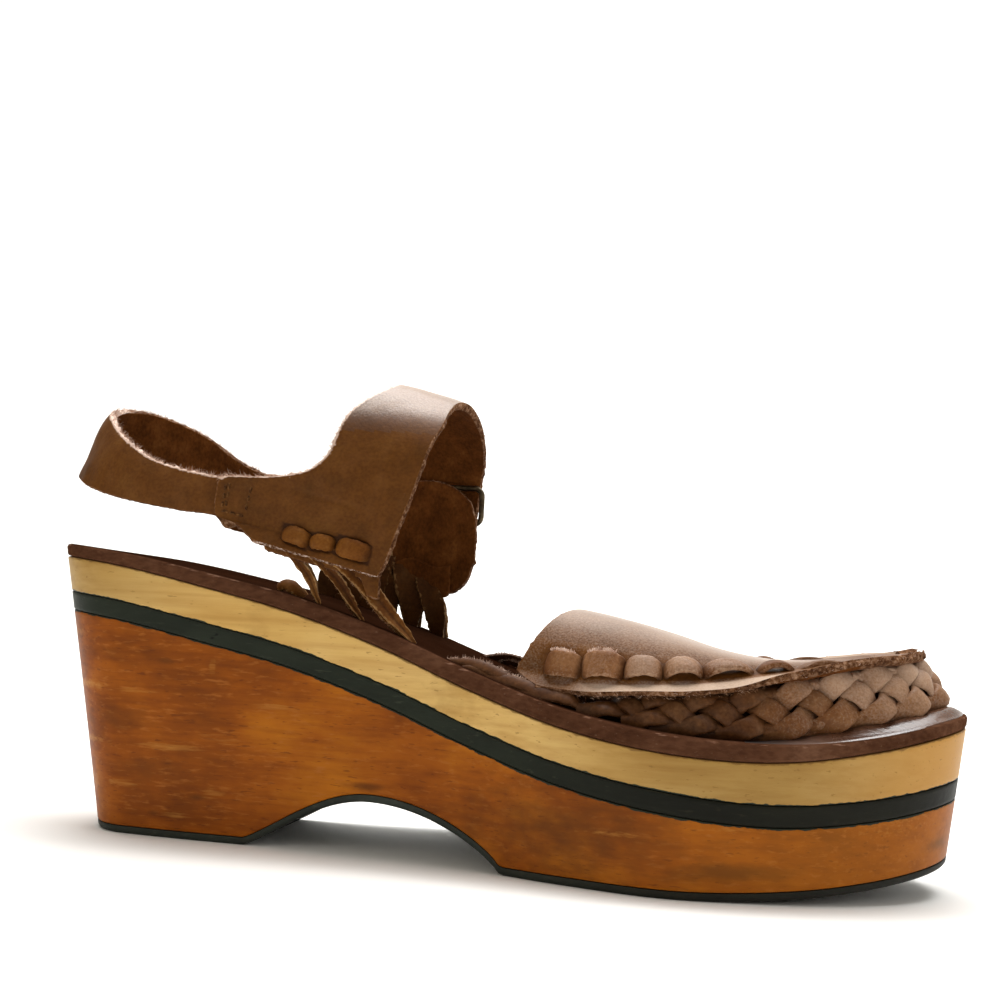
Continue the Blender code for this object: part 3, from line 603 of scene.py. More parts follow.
class Finish:
    """A procedural material in the making: its colour so far, laid up coat by coat. A mask is a pattern,
    or the name of a mark kept with the mesh."""

    def __init__(self, name, roughness, **sockets):
        self.made = bpy.data.materials.new(name)
        self.made.use_nodes = True
        self.tree = self.made.node_tree
        self.shader = self.tree.nodes["Principled BSDF"]
        self.shader.inputs["Roughness"].default_value = roughness
        for key, value in sockets.items():
            self.shader.inputs[key.replace("_", " ")].default_value = value
        self.place = self.add("TexCoord", output="Object")

    def add(self, kind, settings=(), links=(), output=0):
        """Adds one node and gives its output: settings go to its sockets or properties by name or number,
        links to its sockets."""
        made = self.tree.nodes.new("ShaderNode" + kind)
        for key, value in dict(settings).items():
            if key == "stops":
                ramp = made.color_ramp.elements
                while len(ramp) < len(value):
                    ramp.new(0.5)
                for stop, (where, code) in zip(ramp, value):
                    stop.position = where
                    stop.color = linear(code)
            elif isinstance(key, int) or key in made.inputs:
                made.inputs[key].default_value = value
            else:
                setattr(made, key, value)
        for key, source in dict(links).items():
            self.tree.links.new(source, made.inputs[key])
        return made.outputs[output]

    def cloud(self, size, stretch, detail):
        """A random pattern of a size in millimetres, drawn out by stretch along each axis."""
        scaled = self.add("Mapping", {"Scale": tuple(1000.0 / size / s for s in stretch)},
                          {"Vector": self.place})
        return self.add("TexNoise", {"Scale": 1.0, "Detail": detail, "Roughness": 0.55}, {"Vector": scaled})

    def share(self, mask, low=0.0, high=1.0, least=0.0, most=1.0):
        """Goes from least to most as a mask goes from low to high."""
        if isinstance(mask, str):
            mask = self.add("Attribute", {"attribute_name": mask}, output="Fac")
        return self.add("MapRange", {1: low, 2: high, 3: least, 4: most}, {0: mask})

    def body(self, size, stops, stretch=EVEN):
        """The ground colour, wandering between stops."""
        self.colour = self.add("ValToRGB", {"stops": stops}, {"Fac": self.cloud(size, stretch, 5.0)})

    def coat(self, colour, mask, low, high, strength, way="MIX"):
        """Another colour laid over where the mask goes from low to high."""
        self.colour = self.add("Mix", {"data_type": "RGBA", "blend_type": way, 7: linear(colour)},
                               {0: self.share(mask, low, high, 0.0, strength), 6: self.colour}, 2)

    def speckle(self, colour, size, start, strength, stretch=EVEN, soft=0.1, detail=4.0, way="MIX"):
        """Flecks or streaks of a colour: start sets how much of the surface they take."""
        self.coat(colour, self.cloud(size, stretch, detail), start, start + soft, strength, way)

    def worn(self, colour, mark, size, start, strength, stretch=EVEN, bite=1.0, soft=0.1, sign=1.0):
        """A mark kept with the mesh, shown in a colour with the broken edge that wear has."""
        broken = self.add("Math", {"operation": "MULTIPLY_ADD", 1: bite, 2: -0.5 * bite},
                          {0: self.cloud(size, stretch, 5.0)})
        kept = self.add("Attribute", {"attribute_name": mark}, output="Fac")
        summed = self.add("Math", {"operation": "MULTIPLY_ADD", 1: sign}, {0: kept, 2: broken})
        self.coat(colour, summed, start, start + soft, strength)

    def polished(self, dull, bright):
        """Roughness that falls from dull to bright where the polish mark shows."""
        self.tree.links.new(self.share("polish", 0.0, 1.0, dull, bright), self.shader.inputs["Roughness"])

    def relief(self, depth, *layers):
        """Fine surface shape: layers of (size in mm, stretch, share), depth in mm for the whole."""
        total = None
        for size, stretch, share in layers:
            links = {0: self.cloud(size, stretch, 3.0)}
            if total is not None:
                links[2] = total
            total = self.add("Math", {"operation": "MULTIPLY_ADD", 1: share, 2: 0.0}, links)
        bump = self.add("Bump", {"Strength": 1.0, "Distance": depth * MM}, {"Height": total})
        self.tree.links.new(bump, self.shader.inputs["Normal"])

    def done(self):
        self.tree.links.new(self.colour, self.shader.inputs["Base Color"])
        return self.made


def moulded_rubber():
    """Moulded rubber sheet: dull green-black and faintly uneven, with a film of dust, warmed and darkened
    toward the toe as painted shade.
    """
    rubber = Finish("moulded_rubber", 0.62, Specular_IOR_Level=0.25)
    rubber.body(14.0, ((0.3, "#1B201A"), (0.7, "#2A3029")))
    rubber.speckle("#55584C", 1.6, 0.55, 0.25, (2.0, 1.0, 1.0), soft=0.2)
    rubber.coat(PAINTED_TOE_SHADE, "toe_tint", 0.0, 1.0, 0.9, "MULTIPLY")
    rubber.relief(0.10, (0.9, EVEN, 0.7), (5.0, EVEN, 0.3))
    return rubber.done()


def stained_pine():
    """Softwood stained orange-brown and sealed: streaky grain along the shoe and a soft gloss, worn
    back to pale wood in dabs, darker in small stains and in broad patches of painted shade, with the stripe's
    paint crept over its top edge."""
    pine = Finish("stained_pine", 0.45, Specular_IOR_Level=0.10)
    pine.body(15.0, ((0.28, "#703803"), (0.44, "#874505"), (0.56, "#955009"), (0.74, "#A9630F")),
              (1.8, 1.0, 1.2))
    pine.speckle("#B9A99A", 1.7, 0.42, 0.55, (12.0, 1.6, 1.0), soft=0.3, detail=6.0, way="MULTIPLY")
    pine.speckle("#A8662A", 1.0, 0.56, 0.45, (5.0, 1.0, 1.0), soft=0.15, detail=6.0)
    pine.speckle("#4A2206", 0.6, 0.64, 0.5, PORES, soft=0.06, detail=2.0)
    # Darker where the dark mark shows: stains in its small dabs, painted shade in its broad patches
    pine.worn("#5A3006", "dark", 3.0, 0.22, 0.85, (2.4, 1.0, 1.0), bite=0.9, soft=0.6)
    pine.worn("#B97F38", "light", 0.7, 0.42, 0.62, (12.0, 1.0, 1.0), bite=1.3, soft=0.6)
    pine.coat("#B0701A", "toe_tint", 0.0, 1.0, 0.22)
    pine.worn(STRIPE_PAINT, "from_top", 1.8, -0.45, 1.0, (2.0, 1.0, 1.0), bite=1.6, soft=0.12, sign=-1.0)
    pine.relief(0.16, (2.6, STREAK, 0.5), (0.75, PORES, 0.2), (9.0, EVEN, 0.3))
    return pine.done()


def painted_band():
    """Painted wood: matt green-black paint with the grain just showing and a few thin places, warmed and
    darkened toward the toe as painted shade.
    """
    paint = Finish("painted_band", 0.5, Specular_IOR_Level=0.12)
    paint.body(9.0, ((0.3, "#151A12"), (0.7, "#22281E")), (3.0, 1.0, 1.0))
    paint.speckle("#4A4E3E", 1.2, 0.62, 0.35, (9.0, 1.0, 1.0), soft=0.1)
    paint.worn("#060804", "scratch", 0.8, 0.55, 0.9, (1.0, 1.0, 2.0), bite=0.9, soft=0.2)
    paint.coat(PAINTED_TOE_SHADE, "toe_tint", 0.0, 1.0, 0.9, "MULTIPLY")
    paint.relief(0.12, (1.6, (14.0, 1.0, 1.0), 0.7), (6.0, EVEN, 0.3))
    return paint.done()


def pale_pine():
    """Pale softwood under clear sealer: straw colour, faint grain, short dark flecks, one knot."""
    pine = Finish("pale_pine", 0.45, Specular_IOR_Level=0.14)
    pine.body(24.0, ((0.3, "#B88F4A"), (0.5, "#C8A25C"), (0.7, "#D4B270")), (2.4, 1.0, 1.0))
    pine.speckle("#D8C9B4", 2.0, 0.40, 0.6, STREAK, soft=0.3, detail=6.0, way="MULTIPLY")
    pine.coat("#C8C4BC", "dusky", 0.0, 1.0, 1.0, "MULTIPLY")
    pine.coat("#BC8A44", "toe_tint", 0.0, 1.0, 0.8)
    pine.speckle("#7A5A2A", 0.9, 0.66, 0.6, (3.6, 1.0, 0.8), soft=0.06, detail=2.0)
    pine.worn("#8A6A34", "dark", 2.4, 0.30, 0.45, (1.5, 1.0, 1.0), bite=0.9, soft=0.6)
    inside = pine.share("knot", 0.0, 0.2)
    turns = pine.share("knot", 0.0, 1.0, 0.0, 26.0)
    rings = pine.add("Math", {"operation": "SINE"}, {0: turns})
    rings = pine.add("Math", {"operation": "MULTIPLY_ADD"}, {0: rings, 1: inside, 2: inside})
    pine.coat("#8A5A2A", rings, 0.0, 1.8, 0.75)
    pine.worn(STRIPE_PAINT, "from_foot", 1.6, -0.35, 1.0, (2.0, 1.0, 1.0), bite=1.4, soft=0.12, sign=-1.0)
    pine.worn("#6A4A26", "from_top", 1.4, -0.5, 0.7, (2.0, 1.0, 1.0), bite=1.5, soft=0.25, sign=-1.0)
    pine.relief(0.14, (2.0, (20.0, 1.6, 1.0), 0.5), (0.9, (3.6, 1.0, 0.8), 0.2), (8.0, EVEN, 0.3))
    return pine.done()


def footbed_leather(name, dull, bright, level, sheen_offset_shade):
    """Thick vegetable-tanned leather, dyed dark red-brown: burnished dull on its edge and on its top behind
    the ball, darkened over the top from the heel to the waist as painted shade, polished to a gloss round the
    toe, with pale scuffs along its arris."""
    bed = Finish(name, dull, Specular_IOR_Level=level)
    bed.body(13.0, ((0.3, "#40271A"), (0.55, "#543727"), (0.75, "#664735")), (1.8, 1.0, 1.0))
    bed.speckle("#A79C98", 1.1, 0.40, 0.5, (2.5, 1.0, 1.0), soft=0.25, detail=5.0, way="MULTIPLY")
    bed.speckle("#8A6E5C", 0.7, 0.64, 0.25, (1.8, 1.0, 1.0), soft=0.1, detail=5.0)
    bed.worn("#8C6A58", "arris", 1.2, 0.75, 0.8, (5.0, 1.0, 1.0), bite=1.4, soft=0.15)
    # Painted shade over the top from the heel to the waist
    bed.coat("#1C0C05", "trodden", 0.0, 1.0, 0.9)
    # Where the polish fades, the glossy finish is darkened as painted shade, offsetting its stronger sheen so
    # its border with the dull finish hides
    bed.coat(sheen_offset_shade, "polish", 0.5, 0.0, 1.0, "MULTIPLY")
    bed.polished(dull, bright)
    bed.relief(0.13, (0.8, (1.4, 1.0, 1.0), 0.45), (3.0, (2.0, 1.0, 1.0), 0.25), (12.0, EVEN, 0.3))
    return bed.done()


def tanned(name, tones, pale, roughness, level, grain, depth, bright=None):
    """What the shoe's grain leathers share: mottled dye, pores, waxy bloom, worn arrises; bright is the
    roughness where it is polished."""
    hide = Finish(name, roughness, Specular_IOR_Level=level)
    hide.body(11.0, tuple(zip((0.28, 0.5, 0.74), tones)), (1.3, 1.0, 1.0))
    hide.speckle("#C4B6A6", grain, 0.38, 0.55, (1.2, 1.0, 1.0), soft=0.3, detail=4.0, way="MULTIPLY")
    hide.speckle(pale, 5.0, 0.5, 0.22, (1.0, 1.0, 1.6), soft=0.35, detail=5.0)
    hide.colour = hide.add("HueSaturation", {}, {"Value": hide.share("tone", 0.0, 1.0, 0.55, 1.45),
                                                 "Color": hide.colour})
    if bright is not None:
        hide.polished(roughness, bright)
        # Where the polish fades the colour is darkened a little as painted shade, offsetting the polished
        # finish's sheen at its border
        hide.coat("#EAE7E4", "polish", 1.0, 0.0, 1.0, "MULTIPLY")
    hide.worn(pale, "edge", 1.0, 0.85, 0.5, EVEN, bite=1.0, soft=0.2)
    # Paled where the rubbed mark shows: rubbed nap, and painted sheen and highlights on the vamp's crest, the
    # strap's top, some lace loops and the braid's strands near the toe
    hide.worn("#C6B09C", "rubbed", 0.5, 0.15, 0.75, EVEN, bite=0.75, soft=0.9)
    # Darkened where the pressed mark shows: painted shade round lace loops, where loop ends dive in, under
    # the vamp's lip and where braid strands pass under; dirt on the lacing; a little where the stitched joint
    # is pressed flat
    hide.worn("#2A1304", "pressed", 1.2, 0.25, 0.85, EVEN, bite=0.5, soft=0.5)
    hide.worn("#D6BBAA", "fray", 0.7, 0.55, 0.85, EVEN, bite=1.4, soft=0.25)
    hide.relief(depth, (grain, EVEN, 0.4), (grain * 4, EVEN, 0.25), (9.0, EVEN, 0.35))
    return hide.done()


def oiled_leather():
    """Oiled pull-up cowhide: warm brown, waxy, paler and pinker where it is rubbed."""
    return tanned("oiled_leather", HIDE_TONES, "#7E5430", 0.52, 0.09, 0.8, 0.14)


def polished_leather():
    """The same cowhide over the instep and the toes, worn smooth: it shines when the light is low, and its
    crests are paled with painted sheen.
    """
    return tanned("polished_leather", HIDE_TONES, "#7E5430", 0.9, 0.38, 0.8, 0.20, 0.36)


def lacing_leather():
    """Cut lacing of the same hide: greyer pink-brown with a polished grain side."""
    return tanned("lacing_leather", ("#56331A", "#734B2C", "#8B6443"), "#AE8B6E", 0.45, 0.10, 0.7, 0.12)


def tan_lacing():
    """Narrow thongs cut from a lighter tan side, dry and slightly furry."""
    return tanned("tan_lacing", ("#46260A", "#603811", "#784B1B"), "#A98355", 0.62, 0.08, 0.6, 0.16)


def flesh_suede():
    """The flesh side of the hide: dark, matt and napped."""
    nap = Finish("flesh_suede", 0.95, Specular_IOR_Level=0.05)
    nap.body(7.0, ((0.3, "#4E2A10"), (0.55, "#653A18"), (0.75, "#7A4B24")))
    nap.speckle("#8E8480", 0.7, 0.34, 0.6, (1.0, 1.0, 1.6), soft=0.4, detail=6.0, way="MULTIPLY")
    nap.relief(0.3, (0.6, EVEN, 0.6), (2.5, EVEN, 0.4))
    return nap.done()


def raw_edge():
    """A cut edge left raw: felted fibres, speckled from dark brown to tan, rubbed to pinkish white
    where it is frayed."""
    felt = Finish("raw_edge", 0.95, Specular_IOR_Level=0.05)
    felt.body(1.1, ((0.32, "#3E2413"), (0.5, "#6A4830"), (0.70, "#A07E64")))
    felt.worn("#E6CFC0", "fray", 0.9, 0.42, 0.95, EVEN, bite=1.7, soft=0.25)
    felt.speckle("#9A8E88", 6.0, 0.4, 0.7, EVEN, soft=0.3, detail=4.0, way="MULTIPLY")
    felt.relief(0.35, (0.5, EVEN, 0.6), (1.5, EVEN, 0.4))
    return felt.done()


def loose_fibre(name, dark, light):
    """Loose collagen fibres on a raw edge: matt, catching the light."""
    hair = Finish(name, 0.9, Specular_IOR_Level=0.1)
    hair.body(1.5, ((0.35, dark), (0.65, light)))
    return hair.done()


def aged_brass():
    """Drawn brass wire gone dull: brown-grey patina, rubbed brighter in places."""
    brass = Finish("aged_brass", 0.42, Metallic=1.0)
    brass.body(3.0, ((0.35, "#3A3226"), (0.6, "#5E5240"), (0.75, "#8C7A58")))
    brass.relief(0.05, (0.5, EVEN, 0.6), (2.0, EVEN, 0.4))
    return brass.done()


def waxed_thread():
    """Waxed linen thread, dark brown; its twist, about 0.5 mm, is drawn as fine relief."""
    thread = Finish("waxed_thread", 0.8, Specular_IOR_Level=0.1)
    thread.body(0.8, ((0.35, "#2A1608"), (0.65, "#6A4724")))
    thread.relief(0.08, (0.4, EVEN, 1.0))
    return thread.done()


def studio_paper():
    """Matt white background paper."""
    paper = Finish("studio_paper", 0.9)
    paper.body(300.0, ((0.3, "#EDEDEB"), (0.7, "#F3F3F1")))
    return paper.done()


BED_FINISHES = [footbed_leather("burnished_footbed", 0.9, 0.8, 0.0, "#FFFFFF"),
                footbed_leather("polished_footbed", 0.95, 0.2, 0.6, "#8C7C74")]
LACING, TAN, THREAD = lacing_leather(), tan_lacing(), waxed_thread()
HAIR = loose_fibre("loose_fibre", "#6A4630", "#A88468")
HAIR_PALE = loose_fibre("pale_fibre", "#A07C68", "#DCC2B2")
# A sheet's finishes in the order of their numbers, from grain face to polished grain face
SHEET = [oiled_leather(), flesh_suede(), raw_edge(), HAIR, HAIR_PALE, polished_leather()]
LACED = [LACING, HAIR, HAIR_PALE]


# ---------------------------------------------------------------- the sole
def stations():
    """Places along the sole: close together at both rounded ends, even between."""
    heel = HEEL_ROUND * (1.0 - np.cos(np.linspace(0.02, 1.4, 30)))
    toe = LENGTH - TOE_ROUND * (1.0 - np.cos(np.linspace(1.4, 0.02, 38)))
    return np.concatenate([heel, np.linspace(heel[-1], toe[0], 152)[1:-1], toe])


def flat(x, share):
    """No crown: how far a layer's top rises between its sides where it runs straight across."""
    return 0.0 * x


def slab(foot, top, rows, columns, rounds, crown=flat):
    """One layer of the sole: sides in rows, top and underside in columns, both arrises rounded by rounds
    mm, crowned by crown. Its on_top is 1 at the points of its top."""
    xs = stations()
    low, high = foot(xs), top(xs)
    under, over = rounds
    sides = []
    for side in (-1, 1):
        line = [side_point(xs, side, low + under * up, under * into)
                for into, up in ((1.0, 0.0), (0.3, 0.3), (0.0, 1.0))]
        line += [side_point(xs, side, low + under + (high - low - under - over) * share)
                 for share in np.linspace(0.0, 1.0, rows)[1:-1]]
        line += [side_point(xs, side, high - over * down, over * into)
                 for into, down in ((0.0, 1.0), (0.3, 0.3), (1.0, 0.0))]
        sides.append(line)
    inner, outer = sides
    across = 0.5 - 0.5 * np.cos(math.pi * np.linspace(0.0, 1.0, columns)[1:-1])
    ring = inner + [inner[-1] * (1 - share) + outer[-1] * share + crown(xs, share)[:, None] * UPWARD
                    for share in across]
    ring += outer[::-1] + [inner[0] * (1 - share) + outer[0] * share for share in across[::-1]]
    rings = np.stack(ring, 1)
    tall, heights = len(inner), rings[..., 2]
    part = skin(rings, tall=tall)
    part["marks"] = {"from_foot": (heights - low[:, None]).ravel(),
                     "from_top": (high[:, None] - heights).ravel()}
    on_top = np.zeros(heights.shape)
    on_top[:, tall - 1:tall + len(across) + 1] = 1.0
    part["on_top"] = on_top.ravel()
    return part


def blobs(x, z, table):
    """How strongly a place is marked: table of x, z, half length, half height, slope, strength."""
    total = np.zeros(len(x))
    for middle, level, long, tall, slope, strength in table:
        up = (z - level - slope * (x - middle)) / tall
        total = np.maximum(total, strength * np.exp(-((x - middle) / long) ** 2 - up ** 2))
    return total


# The layers from the tread up, with a thin seam left between each and the next
part = slab(tread, lambda x: tread_top(x) - SEAM, rows=5, columns=26, rounds=(0.8, 0.3))
part["marks"].update(toe_tint=ease(part["points"][:, 0], 110.0, 190.0))
add_piece("rubber_tread", [part], [moulded_rubber()], ("outsole",))

part = slab(tread_top, lambda x: stripe_foot(x) - SEAM, rows=84, columns=14, rounds=(0.3, 0.4))
x, y, z = part["points"].T
inner = ease(-y, -4.0, 14.0)      # the two sides' marks pass into each other at the ends
part["marks"].update(toe_tint=ease(x, 160.0, 215.0),
                     light=inner * blobs(x, z, INNER_LIGHT) + (1 - inner) * blobs(x, z, OUTER_LIGHT),
                     dark=inner * blobs(x, z, INNER_DARK) + (1 - inner) * blobs(x, z, OUTER_DARK))
add_piece("wooden_block", [part], [stained_pine()], ("wedge",))

part = slab(stripe_foot, lambda x: pale_foot(x) - SEAM, rows=8, columns=14, rounds=(0.3, 0.3))
x, y, z = part["points"].T
high = z - stripe_foot(x)
slant = x - SCRATCH[0] - 1.1 * (z - stripe_foot(SCRATCH[0]))
part["marks"].update(toe_tint=ease(x, 110.0, 190.0),
                     scratch=hump(slant, 0.0, SCRATCH[1]) * (y < 0) * (high > 1.2) * (high < 3.8))
add_piece("painted_stripe", [part], [painted_band()], ("dark_lamina",))

part = slab(pale_foot, seat, rows=14, columns=14, rounds=(0.3, 0.5))
x, y, z = part["points"].T
from_knot = np.hypot((x - KNOT[0]) / KNOT[1], (z - 0.5 * (seat(x) + pale_foot(x))) / KNOT[2])
part["marks"].update(toe_tint=ease(x, 200.0, 248.0), knot=np.clip(1.0 - from_knot, 0.0, 1.0) * (y > 0),
                     dusky=np.maximum(ease(x, 130.0, 185.0), 0.9 * (1 - ease(x, 4.0, 60.0))),
                     dark=0.6 * hump(x, 120.0, 9.0) + 0.5 * hump(x, 66.0, 5.0))
add_piece("pale_layer", [part], [pale_pine()], ("pale_lamina",))


def bevel(x):
    """How far the footbed's edge slopes off round the toe: none at the waist, all of it by the ball."""
    return ease(x, BEVEL_START, BEVEL_END)


def dish(x, share):
    """The footbed is dished a little under the heel and the ball; round the toe it slopes to its edge."""
    across = 1.0 - np.abs(2 * share - 1) ** 3
    hollow = -0.7 * across * (0.5 + 0.5 * hump(x, 35, 25) + 0.4 * hump(x, 170, 30)) * ease(x, 0.0, 14.0)
    whole = half_width(x, -1) + half_width(x, 1)
    inward = np.minimum(whole * np.minimum(share, 1 - share), LENGTH - x)
    return hollow * (1 - bevel(x)) + (BEVEL_DROP + BEVEL_RISE) * bevel(x) * ease(inward, -1.0, BEVEL_WIDE)


# The footbed: burnished all over, polished on top from the ball forward, its top darkened from the heel to
# the waist as painted shade
part = slab(lambda x: seat(x) + SEAM, lambda x: insole_top(x) - BEVEL_DROP * bevel(x), rows=9, columns=30,
            rounds=(0.6, 1.0), crown=dish)
x, on_top = part["points"][:, 0], part["on_top"]
part["marks"].update(arris=hump(part["marks"]["from_top"], 0.6, 0.5) * (1 - on_top),
                     polish=ease(x, 196.0, 218.0), trodden=on_top * (1 - ease(x, 150.0, 200.0)))
glossy = (on_top > 0) & (x > 192.0)
part["kinds"] = [int(all(glossy[v] for v in face)) for face in part["faces"]]
add_piece("footbed", [part], BED_FINISHES, ("insole",))


# ---------------------------------------------------------------- the vamp
def lip_half_width(x, side):
    """Half width of the vamp's lip at x."""
    width = full_width(x, side) - LIP_INSET
    return np.maximum(width * end_round(LIP_TOE - x, LIP_ROUND, LIP_POWER), LIP_BLUNT)


def throat_line(share):
    """x of the throat's edge: forward in the middle, rearmost at the corner, forward again at the lip."""
    out = np.minimum(share / THROAT_CORNER, 1.0)
    out = (np.hypot(out, THROAT_ROUND) - THROAT_ROUND) / (math.hypot(1.0, THROAT_ROUND) - THROAT_ROUND)
    lip = np.maximum(share - THROAT_CORNER, 0.0) / (1.0 - THROAT_CORNER)
    return THROAT_SIDE + THROAT_DIP * (1.0 - out ** THROAT_POWER) + CORNER_SWEEP * lip ** 2


def vamp_at(x, side, share):
    """Places on the vamp's grain face, at x and a share across: 0 in the middle, 1 at the lip's edge."""
    angle = 0.5 * math.pi * np.minimum(share / VAMP_FLARE, 1.0)
    width = np.where(share > VAMP_FLARE, share, VAMP_FLARE * np.sin(angle))
    rise = np.where(share > VAMP_FLARE, 0.0, np.maximum(np.cos(angle), 0.0) ** VAMP_POWER)
    lip = np.maximum(share - VAMP_FLARE, 0.0) / (1.0 - VAMP_FLARE)
    curl = LIP_CURL * ease(x, LIP_CURL_START, LIP_CURL_END) * lip ** 2
    top = WALL + LIP_FOLD - (WALL + LIP_FOLD - LIP_WALL) * lip
    droop = LIP_DROOP * lip ** 1.5 * (1.0 - ease(x, LIP_DROOP_FADES, LIP_DROOP_ENDS))
    z = column(VAMP_ROWS, 1, x) + top + column(VAMP_ROWS, 2, x) * rise + curl - droop
    return np.stack([x + 0 * share, side * width * lip_half_width(x, side), z], -1)


def vamp_wall(x, side, climb):
    """A place on the vamp's wall, climb mm above its fold, and the way the wall faces there."""
    shares = np.linspace(VAMP_FLARE, 0.25, 80)
    share = np.interp(climb, walked(vamp_at(x, side, shares)), shares)
    here, ahead, above = vamp_at(np.array([x, x + 0.5, x]), side, np.array([share, share, share - 0.03]))
    facing = unit(np.cross(ahead - here, above - here))
    return here, facing if facing[1] * side > 0 else -facing


# The vamp's grain face: rows from the throat to the toe, columns from lip to lip over the instep
half = np.concatenate([np.linspace(0.0, VAMP_FLARE, 26), np.linspace(VAMP_FLARE, 1.0, 10)[1:]])
across = np.concatenate([-half[:0:-1], half])
steps = 1.0 - (1.0 - np.linspace(0.0, 1.0, 104)) ** 1.7
throat = throat_line(np.abs(across))
xs = throat + (LIP_TOE - throat) * steps[:, None]
shares = np.abs(across) + 0 * xs
vamp = vamp_at(xs, np.where(across < 0, -1.0, 1.0) + 0 * xs, shares)
vamp = smoothed(vamp.swapaxes(0, 1), 2).swapaxes(0, 1)
# It is pressed in round the loops of lace on its walls, and darkened there with painted shade
pressed = np.zeros(xs.shape)
for side in (-1, 1):
    columns = np.nonzero(across * side >= 0)[0]
    columns = columns[np.argsort(-np.abs(across[columns]))]
    line = vamp[:, columns]
    reach = np.array([walked(row) for row in line])
    fold = np.argmin(np.abs(np.abs(across[columns]) - VAMP_FLARE))
    climb = reach - reach[:, fold:fold + 1]
    for start, end, level, tall, *_ in LOOPS:
        off_x = np.maximum(np.maximum(start - line[..., 0], line[..., 0] - end), 0.0)
        off_z = np.maximum(np.abs(climb - level) - 0.5 * tall, 0.0)
        near = hump(np.hypot(off_x, off_z), 0.0, 0.9) * (climb > 0.2)
        pressed[:, columns] = np.maximum(pressed[:, columns], near)
lip_share = np.maximum(shares - VAMP_FLARE, 0.0) / (1.0 - VAMP_FLARE)
lift = (0.45 * unevenness(vamp * (1, 1, 0.2), 15.0, 4) * lip_share + 0.25 * unevenness(vamp, 22.0, 5)
        - 0.35 * pressed)
vamp = raised(vamp, lift)
crest = (1 - ease(shares, 0.12, 0.60)) * (1 - ease(xs, 200.0, 230.0))
lip_face = ease(lip_share, 0.05, 0.4) * ease(xs, 145.0, 160.0)
# Round the loops the vamp is darkened with painted shade; along its crest it is paled with painted sheen, and
# it is paler on the lip's top face and faintly all over
marks = {"pressed": 0.45 * pressed, "edge": worn_edge(vamp, 0.8), "polish": crest,
         "rubbed": np.maximum(0.22 + 0.30 * crest, 0.90 * lip_face) * (1 - 0.8 * pressed),
         "tone": 0.57 + 0.10 * hump(away(vamp, vamp[:1]), 0.0, 1.2)}
lip_wall = LIP_WALL + 0.9 * ease(xs, 190.0, 212.0) * (1 - ease(xs, 232.0, 238.6))
parts = [sheet(vamp, WALL - (WALL - lip_wall) * lip_share, ragged=0.35, seed=11, marks=marks)]
# The flesh side is left felted under the lip's tip, where it shows
at_tip = parts[0]["points"][:, 0] > 220.0
parts[0]["kinds"] = [EDGE if kind == FLESH and at_tip[face[0]] else kind
                     for kind, face in zip(parts[0]["kinds"], parts[0]["faces"])]
polish_up(parts[0])
for n, which in enumerate(("first column", "last column")):
    parts += [fringe(vamp, which, per_mm=9.0, length=1.2, seed=21 + n, span=slice(0, -6)),
              fringe(vamp, which, per_mm=3.0, length=1.2, seed=221 + n, kind=PALE_FIBRE, span=slice(0, -6))]
add_piece("vamp_leather", parts, SHEET, ("vamp",))

# Loops of lace along both walls, the rear two with a furry crest; each is darkened with painted shade where
# its ends dive into the wall, and paled on its face, partly as a painted highlight
parts = []
for side in (-1, 1):
    for n, (start, end, level, tall, bulge, tone, rubbed) in enumerate(LOOPS):
        path, look = hop(lambda t: vamp_wall(start + (end - start) * t, side, level), LOOP_POINTS,
                         dive=LOOP_DIVE, rise=LOOP_DIVE + bulge, power=0.5)
        path[:, 2] += 0.25 * unevenness(path, 30.0, 7 + n)
        dipping = np.abs(2 * np.linspace(0, 1, LOOP_POINTS) - 1) ** 3
        parts.append(strip(path, look, tall * (1.0 - 0.14 * dipping), LOOP_THICK, cup=0.15, tone=tone,
                           ragged=0.12, seed=31 + n, grime_and_shade=0.8 * dipping, rubbed=rubbed * (1 - dipping)))
        if n < 2:
            crest = path + look * 0.5 * LOOP_THICK + 0.47 * tall * UPWARD
            parts.append(fibres(crest[2:-2], (0 * look + UPWARD)[2:-2], look[2:-2], per_mm=30.0, length=0.8,
                                seed=41 + n, kind=2, thick=0.26, wall=LOOP_THICK))
    # The lace's last end, frayed and pressed flat before the toe
    start, end, level = LACE_TIP
    path, look = hop(lambda t: vamp_wall(start + (end - start) * t, side, level), 13,
                     dive=1.2, rise=1.6, power=0.6)
    parts.append(strip(path, look, np.linspace(3.6, 2.4, 13), 1.3, cup=0.1, tone=0.30, ragged=0.35,
                       seed=51, grime_and_shade=0.4))
    parts.append(fibres(path, 0 * look + UPWARD, look, per_mm=8.0, length=1.4, seed=52, kind=1, wall=0.8))
add_piece("vamp_lacing", parts, LACED)


